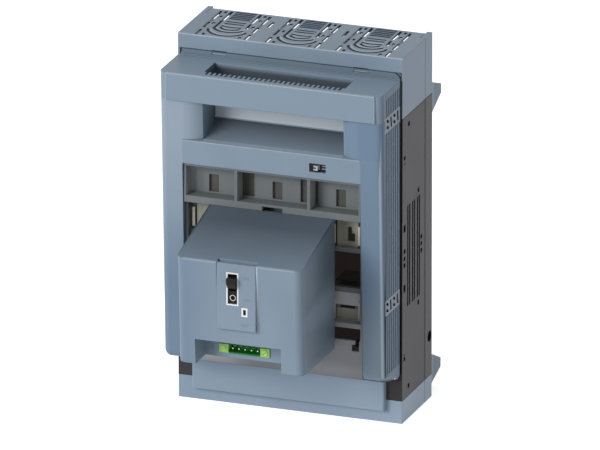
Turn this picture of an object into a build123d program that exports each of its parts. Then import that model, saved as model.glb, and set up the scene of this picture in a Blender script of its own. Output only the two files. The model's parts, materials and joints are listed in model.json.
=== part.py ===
from build123d import *
import os

os.makedirs("parts", exist_ok=True)
CUT = Mode.SUBTRACT

# Fuse switch disconnector, three poles, on a busbar adapter, with a monitoring box on its lid.
# Millimetres. X runs to the right, Y to the back, Z up from the underside of the bottom cover.

# Overall sizes
width = 184.0
height = 298.0
housing_depth = 51.5
adapter_depth = 16.0
claw_reach = 20.5
box_reach = 115.0
top_cover_height = 49.0
bottom_cover_height = 18.4

# Walls and gaps
side_wall = 2.5
front_wall = 4.5
roof_wall = 1.4
lid_wall = 2.6
seam = 0.3
running_gap = 0.06

# Poles
pole_pitch = (width - 11.5) / 3
well_end = 23.0
pole_wall = 7.5
well_width = pole_pitch - pole_wall
well_height = 146.0
jaw_offset = well_height / 2 - well_end
well_depth = 40.0
busbar_pitch = 60.0

# Masking frame between base and lid
mask_thickness = 2.0
mask_margin = 2.0
mask_top = height - 12.4
mask_foot = 36.0
mask_window_width = width - 16.0
mask_window_height = 139.0
pad_foot = 188.2
pad_height = 35.0
pad_width = 5.0
snap_offset = 58.0
snap_width = 12.0
snap_gap = 0.8
snap_height = 1.4

# Contacts
bar_thickness = 3.0
bar_width = 22.0
lip_thickness = 2.5
lip_gap = 4.4
lip_height = 24.0
lip_reach = 24.0
lip_flare = 3.5
lip_tip = 6.0
spring_thickness = 1.2
spring_width = 6.0
tail_rise = 26.0
bolt_radius = 5.0
bolt_head = 16.0
bolt_head_height = 6.4
washer_radius = 10.0
washer_thickness = 2.0
nut_height = 7.0
nut_width = 17.0
link_width = 14.0
link_thickness = 3.0
foot_drop = 16.0
busbar_height = 12.0
busbar_depth = 10.0
hook_lip = 14.0
arc_plate_depth = 22.0
arc_plate_thickness = 1.2
arc_plate_pitch = 6.0
arc_plates_per_stack = 2
arc_notch_width = 14.0
arc_notch_depth = 12.0

# Screws between adapter and base
screw_radius = 2.0
screw_head_radius = 3.8
screw_head_height = 2.4
screw_bite = 12.0
screw_spread = (height - top_cover_height - bottom_cover_height) / 2 - 20.3
round_sides = 8

# Side openings of the base
vent_pitch = 11.0
vent_first = 14.5
vent_groove = 2.4
vent_spacing = 4.2
vent_height = 82.0
vent_depth = 2.0
side_bore_radius = 4.5
side_bore_depth = 10.0
side_bore_height = 51.0
side_bore_inset = 11.0

# Top terminal cover
fan_radii = (16.3, 14.8, 9.8, 25.0)
fan_lows = (3.9, 13.0, 18.3, 24.8)
fan_reaches = (16.3, 12.0, 8.0, 8.4)
fan_groove = 1.7
fan_groove_depth = 0.7
fan_sides = 28
cable_slot_width = 2.4
cable_slot_length = 21.4
cable_slot_offset = 11.8
cable_slot_centre = 50.0
short_slot_width = 2.2
short_slot_starts = (1.0, 18.0, 39.4)
short_slot_ends = (14.0, 31.6, 59.0)
short_slot_offset = 20.2
web_slot_offset = 30.7
pin_hole_width = 2.2
pin_hole_length = 4.4
pin_hole_offset = 16.2
louvre_width = 17.2
louvre_length = 19.5
louvre_count = 5
louvre_groove = 2.0
roof_overhang = 11.5
cheek_width = 4.0
rear_sill = 15.0
post_width = 6.4
partition_height = 34.0
rear_flange_depth = 4.0

# Bottom cover
apron_panel_half = width / 2 - 13.0
apron_panel_low = 10.5
apron_panel_top = 34.5
apron_panel_reach = 5.5

# Claws behind the adapter
claw_width = 12.0
claw_wall = 2.0
claw_root = 24.0
claw_tip = 7.4
claw_slope = 9.7

# Lid
lid_width = width - 2.0
lid_top = height - 17.0
lid_gap = 3.0
lid_depth_top = 42.0
lid_depth_foot = 32.9
lid_front_foot = 46.5
lid_rear_foot = 36.4
lid_corner = 5.5
lid_foot_round = 6.0
column_width = 18.2
bar_overlap = 12.5
bar_proud = 1.0
grip_bar_height = 22.0
grip_bar_wall = 5.0
grip_half = 57.5
grip_rear = 11.0
grip_drop = 20.6
lower_bar_top = 227.0
lower_bar_foot = 207.5
comb_pitch = 4.03
comb_slot = 2.0
comb_depth = 5.8
comb_count = 28
scoop_half = 72.0
scoop_rise = 6.5
scoop_bulge = 1.6
rib_pitch = 4.2
rib_groove = 1.7
rib_depth = 0.9
rib_count = 8
band_height = 12.0
band_upper = 248.6
band_lower = 99.6
vent_slot_width = 3.0
vent_bar_height = 2.2

# Lid hinge
hinge_forward = 10.0
hinge_height = 42.0
hinge_pin_radius = 2.0
ear_radius = 4.5
ear_inner = 79.5
ear_width = 6.0
pin_seat = 1.6

# Lock slider in the lower bar
lock_left = 31.2
lock_width = 13.5
lock_height = 7.0
lock_centre = 216.5
lock_thumb_width = 6.0
lock_thickness = 1.6

# Carrier insert in the lid window
insert_front = 40.0
insert_plate_front = 28.0
insert_plate = 2.0
insert_back = 6.0
insert_wall = 2.0
insert_top_gap = 0.3
pane_gap = 0.3
pane_thickness = 1.5
bay_pitch = 52.0
bay_slot_width = 8.0
bay_slot_low = 182.0
bay_slot_top = 196.0
bay_gap_width = 14.2
bay_gap_centre = 26.0
divider_offset = 29.8
divider_width = 2.5
cross_bar_foot = 175.5
cross_bar_top = 181.0
cross_bar_depth = 6.0
latch_notch_width = 16.8
latch_notch_height = 3.6
chamber_low = 118.0
chamber_top = 146.7
chamber_half = 23.0
ledge_height = 4.0
ledge_reach = 2.5
apron_front = 35.6
apron_thickness = 2.2
apron_top = 77.0

# Fuse grips
grip_inner = 9.4
grip_ridge = 10.8
grip_outer = 12.6
grip_sheet = 0.9
grip_fold = 3.2
grip_length = 15.2
upper_grip_low = 153.3
lower_grip_low = 91.6

# Monitoring box
box_half = 51.3
box_foot = 71.0
box_brow = 157.4
box_roof_rise = 18.4
box_rear = 40.3
box_draft = 5.0
box_wall = 2.5
box_corner = 6.5
plug_bay_left = -37.0
plug_bay_right = 33.0
plug_bay_height = 20.3
plug_bay_depth = 27.0
back_plate_thickness = 2.5
back_plate_screw_radius = 1.5
back_plate_screw_head = 2.8

# Breaker in the box
panel_left = -17.7
panel_right = 13.6
panel_foot = 104.0
panel_proud = 0.3
panel_thickness = 2.4
panel_gap = 0.5
rocker_left = -8.7
rocker_right = -1.0
rocker_foot = 125.1
rocker_top = 149.5
rocker_split = 135.5
rocker_clearance = 0.35
rocker_proud = 5.1
rocker_rim = 1.1
rim_proud = 0.2
rocker_axle_radius = 1.5
dial_radius = 2.7
dial_depth = 4.0
dial_slot = 0.8
test_left = 3.4
test_right = 6.7
test_foot = 116.7
test_height = 5.4
test_inset = 0.65
test_travel = 1.2
test_recess = 0.6
breaker_front_gap = 7.0
breaker_depth = 52.0
breaker_side = 16.0
breaker_foot = 97.0
board_thickness = 1.6

# Header connector
header_pitch = 5.08
header_poles = 5
header_flange = 7.9
header_height = 6.8
header_depth = 9.0
header_proud = 1.2
header_wall = 1.1
header_centre_x = -4.8
header_centre_z = 78.4
header_pin = 1.0
flange_screw_radius = 1.25
flange_screw_head = 2.2

# Planes and levels worked out from the sizes above
front_reach = box_reach + panel_proud + rocker_proud
y_base = (front_reach - housing_depth - adapter_depth - claw_reach) / 2
y_split = y_base + housing_depth
y_back = y_split + adapter_depth
z_low = bottom_cover_height
z_top = height - top_cover_height
z_mid = (z_low + z_top) / 2
poles = (-pole_pitch, 0.0, pole_pitch)
half = width / 2
y_floor = y_base + well_depth
y_lid = y_base - lid_gap
hinge_y = y_base - hinge_forward
jaw_high = z_mid + jaw_offset
jaw_low = z_mid - jaw_offset
foot_z = jaw_low - foot_drop
lid_half = lid_width / 2
column_inner = lid_half - column_width
lid_lean = (lid_depth_top - lid_depth_foot) / (lid_top - lid_front_foot)


def facing(y):
    """Plane that faces the front at depth y; its own axes are X and Z."""
    return Plane.XZ.offset(-y)


def across(x):
    """Plane across the width at x; its own axes are Y and Z."""
    return Plane.YZ.offset(x)


def level(z):
    """Horizontal plane at height z; its own axes are X and Y."""
    return Plane.XY.offset(z)


def patch(a0, a1, b0, b1, mode=Mode.ADD):
    """Rectangle in the current sketch, given by its edges."""
    with Locations(((a0 + a1) / 2, (b0 + b1) / 2)):
        Rectangle(abs(a1 - a0), abs(b1 - b0), mode=mode)


def block(a, b, w, h, mode=Mode.ADD):
    """Rectangle in the current sketch, given by its centre and its sizes."""
    with Locations((a, b)):
        Rectangle(w, h, mode=mode)


def lid_front(z):
    """Depth of the lid's leaning front face at height z."""
    return y_lid - lid_depth_foot - (z - lid_front_foot) * lid_lean


def box_front(z):
    """Depth of the monitoring box's front face at height z, with its mould draft."""
    return y_base - box_reach + (box_brow - z) * box_draft / (box_brow - box_foot)


def hook_level(index):
    """Top of the busbar hook of a pole: one busbar lower for each pole to the right."""
    return z_mid + busbar_pitch * (1 - index) + busbar_height / 2 + link_thickness


def link_top(index):
    """Upper end of the link strip of a pole."""
    return max(hook_level(index), foot_z + link_width / 2 + 12.0)


# Base housing: three fuse wells, a rebate for the masking frame, grooved sides and hinge ears
with BuildPart() as base_housing:
    with BuildSketch(level(z_low)):
        patch(-half, half, y_base, y_split)
    extrude(amount=z_top - z_low)
    with BuildSketch(facing(y_base)):
        patch(-half + mask_margin - seam, half - mask_margin + seam, mask_foot - seam, z_top)
    extrude(amount=-mask_thickness, mode=CUT)
    with BuildSketch(facing(y_base)):
        with Locations(*[(x, z_mid) for x in poles]):
            Rectangle(well_width, well_height)
    extrude(amount=-well_depth, mode=CUT)
    # Way up for the terminal tails, and way back for the feet of the lower contacts
    with BuildSketch(level(z_mid)):
        with Locations(*[(x, y_floor - (bar_thickness - seam) / 2) for x in poles]):
            Rectangle(bar_width + 2 * seam, bar_thickness + seam)
    extrude(amount=z_top - z_mid, mode=CUT)
    with BuildSketch(facing(y_floor)):
        with Locations(*[(x, z_mid - jaw_offset - foot_drop) for x in poles]):
            Rectangle(link_width + 2 * seam, link_thickness + 2 * seam)
    extrude(amount=-(housing_depth - well_depth), mode=CUT)
    # Screw holes towards the adapter
    with BuildSketch(facing(y_split)):
        with GridLocations(pole_pitch, 2 * screw_spread, 2, 2):
            with Locations((0, z_mid)):
                RegularPolygon(screw_radius + running_gap, round_sides)
    extrude(amount=screw_bite + seam, mode=CUT)
    # Grooves and small marks in both side walls
    for turn in (-1, 1):
        with BuildSketch(across(turn * half)):
            with Locations((y_base + vent_first + vent_pitch, z_mid)):
                with GridLocations(vent_pitch, 1, 3, 1):
                    with GridLocations(vent_spacing, 1, 2, 1):
                        Rectangle(vent_groove, vent_height)
        extrude(amount=-turn * vent_depth, mode=CUT)
        with BuildSketch(across(turn * half)):
            with Locations((y_base + 5.0, z_mid)):
                with GridLocations(1, 49.0, 1, 2):
                    Rectangle(4.2, 5.6)
                with GridLocations(1, 5.7, 1, 3):
                    Rectangle(3.8, 3.2)
            with Locations((y_base + 43.2, z_mid)):
                with GridLocations(1, 5.7, 1, 3):
                    Rectangle(3.6, 2.8)
            with Locations((y_base + vent_first, z_mid)):
                with GridLocations(1, 2 * 107.0, 1, 2):
                    RegularPolygon(2.0, 8)
            with Locations((y_base + vent_first + 2 * vent_pitch, z_mid)):
                with GridLocations(1, 2 * 46.0, 1, 2):
                    RegularPolygon(2.0, 8)
            with Locations((y_base + 5.0, z_mid)):
                with GridLocations(1, 2 * 82.0, 1, 2):
                    Rectangle(3.6, 3.4)
        extrude(amount=-turn * vent_depth, mode=CUT)
    # Hinge ears
    ear_reach = hinge_forward + mask_thickness
    for turn in (-1, 1):
        with BuildSketch(across(turn * (ear_inner + ear_width / 2))):
            patch(hinge_y, hinge_y + ear_reach, hinge_height - ear_radius, hinge_height + ear_radius)
            with Locations((hinge_y, hinge_height)):
                Circle(ear_radius)
                Circle(hinge_pin_radius + running_gap, mode=CUT)
        extrude(amount=ear_width / 2, both=True)
base_housing.part.label = "base_housing"

# Busbar adapter: channels for the three links, windows for their hooks, a bore in each side
link_front = y_split + 1.5
with BuildPart() as busbar_adapter:
    with BuildSketch(level(z_low)):
        patch(-half, half, y_split, y_back)
    extrude(amount=z_top - z_low)
    with BuildSketch(facing(y_split)):
        for index, x in enumerate(poles):
            channel = link_width / 2 + seam
            patch(x - channel, x + channel, foot_z - channel, link_top(index) + seam)
    extrude(amount=-(1.5 + link_thickness + seam), mode=CUT)
    for index, x in enumerate(poles):
        hook_z = hook_level(index) - link_thickness / 2
        with BuildSketch(facing(y_split + 1.5 + link_thickness)):
            with Locations((x, hook_z)):
                Rectangle(link_width + 2 * seam, link_thickness + 2 * seam)
        extrude(amount=-adapter_depth, mode=CUT)
    with BuildSketch(facing(y_back)):
        with GridLocations(pole_pitch, 2 * screw_spread, 2, 2):
            with Locations((0, z_mid)):
                RegularPolygon(screw_radius + running_gap, round_sides)
    extrude(amount=adapter_depth, mode=CUT)
    with BuildSketch(facing(y_back)):
        with GridLocations(pole_pitch, 2 * screw_spread, 2, 2):
            with Locations((0, z_mid)):
                RegularPolygon(screw_head_radius + seam, round_sides)
    extrude(amount=screw_head_height, mode=CUT)
    for turn in (-1, 1):
        with BuildSketch(across(turn * half)):
            with Locations((y_split + side_bore_inset, side_bore_height)):
                Circle(side_bore_radius)
        extrude(amount=-turn * side_bore_depth, mode=CUT)
busbar_adapter.part.label = "busbar_adapter"

# Screws that hold the adapter to the base
with BuildPart() as adapter_screws:
    with BuildSketch(facing(y_split - screw_bite)):
        with GridLocations(pole_pitch, 2 * screw_spread, 2, 2):
            with Locations((0, z_mid)):
                RegularPolygon(screw_radius, round_sides)
    extrude(amount=-(screw_bite + adapter_depth - screw_head_height))
    with BuildSketch(facing(y_back - screw_head_height)):
        with GridLocations(pole_pitch, 2 * screw_spread, 2, 2):
            with Locations((0, z_mid)):
                RegularPolygon(screw_head_radius, round_sides)
                Rectangle(4.2, 1.0, mode=CUT)
    extrude(amount=-(screw_head_height - seam))
adapter_screws.part.label = "adapter_screws"

# One pole's fan of knock-outs, drawn about the pole's centre with Y from the base's front
with BuildSketch() as fan_grooves:
    for radius, lowest, reach in zip(fan_radii, fan_lows, fan_reaches):
        with BuildSketch(mode=Mode.PRIVATE) as arc:
            RegularPolygon(radius + fan_groove / 2, fan_sides)
            RegularPolygon(radius - fan_groove / 2, fan_sides, mode=CUT)
            patch(-reach, reach, -radius - 1, -0.2 * radius, mode=Mode.INTERSECT)
        with Locations((0, lowest + radius)):
            add(arc.sketch)
    block(-fan_reaches[1], 28.0, fan_groove, 19.0)
    block(fan_reaches[1], 34.0, fan_groove, 6.0)
    for depth in (32.3, 37.0):
        block(0, depth, 2 * fan_reaches[2], fan_groove)
with BuildSketch() as fan_openings:
    for turn in (-1, 1):
        block(turn * cable_slot_offset, cable_slot_centre, cable_slot_width, cable_slot_length)
        for start, end in zip(short_slot_starts, short_slot_ends):
            block(turn * short_slot_offset, (start + end) / 2, short_slot_width, end - start)
        for depth in (30.2, 46.6, 57.4):
            block(turn * pin_hole_offset, depth, pin_hole_width, pin_hole_length)
        block(turn * (pin_hole_offset - 1.4), 3.8, pin_hole_width, pin_hole_length)
    block(12.4, 28.0, pin_hole_width, 6.0)

# Top terminal cover: a hood with a thin knock-out roof that reaches back over its rear part
cover_back = y_split + roof_overhang
with BuildPart() as top_cover:
    with BuildSketch(level(z_top)):
        patch(-half, half, y_base, y_split)
    extrude(amount=top_cover_height)
    with BuildSketch(level(height - roof_wall)):
        patch(-half + cheek_width + seam, half - cheek_width - seam, y_split, cover_back)
    extrude(amount=roof_wall)
    with BuildSketch(level(z_top)):
        patch(-half + side_wall, half - side_wall, y_base + front_wall, y_split)
    extrude(amount=top_cover_height - roof_wall, mode=CUT)
    # Rebate for the masking frame, and its two snap tabs
    with BuildSketch(facing(y_base)):
        patch(-half + mask_margin - seam, half - mask_margin + seam, z_top, mask_top + seam)
        with Locations(*[(turn * snap_offset, mask_top + seam) for turn in (-1, 1)]):
            Rectangle(snap_width, 2 * snap_gap)
    extrude(amount=-mask_thickness, mode=CUT)
    with BuildSketch(facing(y_base + mask_thickness)):
        with Locations(*[(turn * snap_offset, mask_top - 1.6) for turn in (-1, 1)]):
            Rectangle(snap_width - 2 * seam, snap_height)
    extrude(amount=mask_thickness - seam)
    # Walls between the poles
    with BuildSketch(level(z_top)):
        for x in (-pole_pitch / 2, pole_pitch / 2):
            patch(x - side_wall / 2, x + side_wall / 2, y_base + front_wall, y_split)
    extrude(amount=partition_height)
    # Turned-down edge along the back of the roof
    with BuildSketch(level(height - rear_flange_depth)):
        patch(-half + cheek_width + seam, half - cheek_width - seam, cover_back - 1.4, cover_back)
        for x in (-pole_pitch / 2, pole_pitch / 2):
            block(x, cover_back, post_width + 2 * seam, 6.0, mode=CUT)
    extrude(amount=rear_flange_depth)
    # The three fans
    with BuildSketch(level(height)):
        with Locations(*[(x, y_base) for x in poles]):
            add(fan_grooves.sketch)
            with Locations((0, cover_back - y_base - louvre_length / 2 - 1.0)):
                with GridLocations(1, louvre_length / louvre_count, 1, louvre_count):
                    Rectangle(louvre_width, louvre_groove)
    extrude(amount=-fan_groove_depth, mode=CUT)
    with BuildSketch(level(height)):
        with Locations(*[(x, y_base) for x in poles]):
            add(fan_openings.sketch)
        for turn in (-1, 1):
            block(turn * web_slot_offset, y_base + 41.0, short_slot_width, 13.0)
    extrude(amount=-2 * roof_wall, mode=CUT)
top_cover.part.label = "top_cover"

# Rear part of the top cover: two cheeks, a low sill and two posts under the roof
with BuildPart() as top_rear_cover:
    with BuildSketch(level(z_top)):
        for turn in (-1, 1):
            patch(turn * half, turn * (half - cheek_width), y_split, y_back)
    extrude(amount=top_cover_height)
    with BuildSketch(level(z_top)):
        patch(-half + cheek_width, half - cheek_width, y_back - side_wall, y_back)
    extrude(amount=rear_sill)
    with BuildSketch(level(z_top)):
        for x in (-pole_pitch / 2, pole_pitch / 2):
            patch(x - post_width / 2, x + post_width / 2, y_split, y_back)
    extrude(amount=rear_sill)
    with BuildSketch(level(z_top + rear_sill)):
        for x in (-pole_pitch / 2, pole_pitch / 2):
            patch(x - post_width / 2, x + post_width / 2, y_split + seam, cover_back)
    extrude(amount=top_cover_height - rear_sill - roof_wall)
top_rear_cover.part.label = "top_rear_cover"

# Bottom cover: a shallow tray with the raised panel under the lid
with BuildPart() as bottom_cover:
    with BuildSketch(level(0)):
        patch(-half, half, y_base, y_split)
    extrude(amount=z_low)
    with BuildSketch(facing(y_base)):
        patch(-apron_panel_half, apron_panel_half, apron_panel_low, apron_panel_top)
    extrude(amount=apron_panel_reach)
    panel_edges = bottom_cover.edges().filter_by(Axis.Z).group_by(Axis.Y)[0]
    fillet(panel_edges, radius=1.5)
    with BuildSketch(level(side_wall)):
        patch(-half + side_wall, half - side_wall, y_base + side_wall, y_split - side_wall)
    extrude(amount=z_low, mode=CUT)
    with BuildSketch(facing(y_base)):
        hollow_half = apron_panel_half - side_wall
        patch(-hollow_half, hollow_half, z_low, apron_panel_top - side_wall)
    extrude(amount=apron_panel_reach - side_wall, mode=CUT)
bottom_cover.part.label = "bottom_cover"

# Rear part of the bottom cover
with BuildPart() as bottom_rear_cover:
    with BuildSketch(level(0)):
        patch(-half, half, y_split, y_back)
    extrude(amount=z_low)
    with BuildSketch(level(side_wall)):
        patch(-half + side_wall, half - side_wall, y_split + side_wall, y_back - side_wall)
    extrude(amount=z_low, mode=CUT)
bottom_rear_cover.part.label = "bottom_rear_cover"

# Support claws: open channels that rest on the busbars, upper pair and lower pair
with BuildPart() as upper_claws:
    for turn in (-1, 1):
        outer = turn * half
        inner = turn * (half - claw_width)
        root_low = z_top + side_wall + seam + 4.9 - claw_root
        with BuildSketch(across(min(outer, inner))):
            with BuildLine():
                Polyline(
                    (y_back, root_low),
                    (y_back + claw_reach, root_low + claw_slope),
                    (y_back + claw_reach, root_low + claw_slope + claw_tip),
                    (y_back, root_low + claw_root),
                    close=True,
                )
            make_face()
        extrude(amount=claw_width)
        with BuildSketch(across(min(outer, inner) + claw_wall)):
            with BuildLine():
                Polyline(
                    (y_back, root_low + 2 * claw_wall),
                    (y_back + claw_reach - claw_wall, root_low + claw_slope + claw_wall),
                    (y_back + claw_reach - claw_wall, root_low + claw_root + claw_slope),
                    (y_back, root_low + claw_root + claw_slope),
                    close=True,
                )
            make_face()
        extrude(amount=claw_width - 2 * claw_wall, mode=CUT)
upper_claws.part.label = "upper_claws"

with BuildPart() as lower_claws:
    add(mirror(upper_claws.part, about=Plane.XY.offset(z_mid), mode=Mode.PRIVATE))
lower_claws.part.label = "lower_claws"

# Masking frame: the blue-grey plate round the wells, with two pads that the lid's sides cover
mask_half = half - mask_margin
with BuildPart() as masking_frame:
    with BuildSketch(facing(y_base)):
        patch(-mask_half, mask_half, mask_foot, mask_top)
        block(0, z_mid, mask_window_width, mask_window_height, mode=CUT)
        ear_notch = 2 * (hinge_height - mask_foot + ear_radius + seam)
        with Locations(*[(turn * (ear_inner + ear_width / 2), mask_foot) for turn in (-1, 1)]):
            Rectangle(ear_width + 2 * seam, ear_notch, mode=CUT)
        with Locations(*[(turn * snap_offset, mask_top - 1.6) for turn in (-1, 1)]):
            Rectangle(snap_width, snap_height + 2 * seam, mode=CUT)
    extrude(amount=-mask_thickness)
    top_corners = masking_frame.edges().filter_by(Axis.Y).group_by(Axis.Z)[-1]
    fillet(top_corners, radius=6.0)
    with BuildSketch(facing(y_base)):
        for turn in (-1, 1):
            patch(turn * mask_half, turn * (mask_half - pad_width), pad_foot, pad_foot + pad_height)
    extrude(amount=lid_gap - 0.5)
masking_frame.part.label = "masking_frame"


def jaw_outline(x, turn):
    """Plan of one jaw lip beside x: straight from the bar, then flared at its tip."""
    near = x + turn * lip_gap / 2
    far = x + turn * (lip_gap / 2 + lip_thickness)
    flare = turn * lip_flare
    root = y_floor - bar_thickness
    tip = root - lip_reach
    bend = tip + lip_tip
    return [(near, root), (near, bend), (near + flare, tip), (far + flare, tip), (far, bend), (far, root)]


# Upper contacts: back bar, two lips, and a tail that rises into the top cover
tail_top = z_top + tail_rise
terminal_z = tail_top - bar_width / 2
for number, x in enumerate(poles, start=1):
    with BuildPart() as upper_contact:
        with BuildSketch(facing(y_floor)):
            patch(x - bar_width / 2, x + bar_width / 2, jaw_high - lip_height / 2, tail_top)
            with Locations((x, terminal_z)):
                RegularPolygon(bolt_radius + seam, round_sides, mode=CUT)
        extrude(amount=bar_thickness)
        with BuildSketch(level(jaw_high - lip_height / 2)):
            for turn in (-1, 1):
                Polygon(*jaw_outline(x, turn), align=None)
        extrude(amount=lip_height)
    upper_contact.part.label = f"upper_contact_{number}"
    export_step(upper_contact.part, f"parts/upper_contact_{number}.step")

# Lower contacts: back bar, two lips, and a foot that goes back through the housing
bar_low = foot_z - link_thickness / 2
bar_high = jaw_low + lip_height / 2
for number, x in enumerate(poles, start=1):
    with BuildPart() as lower_contact:
        with BuildSketch(facing(y_floor)):
            block(x, (bar_low + bar_high) / 2, bar_width, bar_high - bar_low)
        extrude(amount=bar_thickness)
        with BuildSketch(level(jaw_low - lip_height / 2)):
            for turn in (-1, 1):
                Polygon(*jaw_outline(x, turn), align=None)
        extrude(amount=lip_height)
        with BuildSketch(facing(y_floor)):
            with Locations((x, foot_z)):
                Rectangle(link_width, link_thickness)
        extrude(amount=-(link_front - y_floor))
    lower_contact.part.label = f"lower_contact_{number}"
    export_step(lower_contact.part, f"parts/lower_contact_{number}.step")

# Busbar links: a strip in the adapter's channel with a hook that goes over the busbar
hook_back = y_back + busbar_depth + link_thickness
for number, x in enumerate(poles, start=1):
    hook_top = hook_level(number - 1)
    with BuildPart() as busbar_link:
        with BuildSketch(across(x)):
            patch(link_front, link_front + link_thickness, foot_z - link_width / 2, link_top(number - 1))
            patch(link_front, hook_back, hook_top - link_thickness, hook_top)
            patch(hook_back - link_thickness, hook_back, hook_top - hook_lip, hook_top)
        extrude(amount=link_width / 2, both=True)
    busbar_link.part.label = f"busbar_link_{number}"
    export_step(busbar_link.part, f"parts/busbar_link_{number}.step")

# Closed spring bands that squeeze the lips together, one on each jaw
band_half = lip_gap / 2 + lip_thickness
band_height_out = lip_height + 2 * spring_thickness
with BuildPart() as jaw_springs:
    for z in (jaw_low, jaw_high):
        with BuildSketch(facing(y_floor - bar_thickness - 6.0)):
            with Locations(*[(x, z) for x in poles]):
                Rectangle(2 * (band_half + spring_thickness), band_height_out)
        extrude(amount=spring_width)
    chamfer(jaw_springs.edges().filter_by(Axis.Y), length=spring_thickness)
    with BuildSketch(facing(y_floor - bar_thickness - 6.0)):
        for z in (jaw_low, jaw_high):
            with Locations(*[(x, z) for x in poles]):
                Rectangle(2 * band_half, lip_height)
    extrude(amount=spring_width, mode=CUT)
jaw_springs.part.label = "jaw_springs"

# Arc splitter plates, notched for the fuse blade, held by the walls of each well
with BuildPart() as arc_plates:
    for turn in (-1, 1):
        for step in range(arc_plates_per_stack):
            plate_z = z_mid + turn * (jaw_offset - lip_height / 2 - 4.0 - step * arc_plate_pitch)
            with BuildSketch(level(plate_z)):
                with Locations(*[(x, y_floor - 4.0 - arc_plate_depth / 2) for x in poles]):
                    Rectangle(well_width, arc_plate_depth)
                with Locations(*[(x, y_floor - 4.0 - arc_plate_depth) for x in poles]):
                    Rectangle(arc_notch_width, 2 * arc_notch_depth, mode=CUT)
            extrude(amount=arc_plate_thickness)
arc_plates.part.label = "arc_plates"

# Terminal bolts with their washers, and the captive nuts behind the tails
with BuildPart() as terminal_bolts:
    washer_face = y_floor - bar_thickness
    with BuildSketch(facing(washer_face)):
        with Locations(*[(x, terminal_z) for x in poles]):
            RegularPolygon(washer_radius, 2 * round_sides)
    extrude(amount=washer_thickness)
    with BuildSketch(facing(washer_face - washer_thickness)):
        with Locations(*[(x, terminal_z) for x in poles]):
            RegularPolygon(bolt_head / 2, 6, major_radius=False)
    extrude(amount=bolt_head_height)
    with BuildSketch(facing(washer_face)):
        with Locations(*[(x, terminal_z) for x in poles]):
            RegularPolygon(bolt_radius, round_sides)
    extrude(amount=-(bar_thickness + nut_height))
terminal_bolts.part.label = "terminal_bolts"

with BuildPart() as terminal_nuts:
    with BuildSketch(facing(y_floor)):
        with Locations(*[(x, terminal_z) for x in poles]):
            Rectangle(nut_width, nut_width)
            RegularPolygon(bolt_radius + running_gap, round_sides, mode=CUT)
    extrude(amount=-nut_height)
terminal_nuts.part.label = "terminal_nuts"

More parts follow.
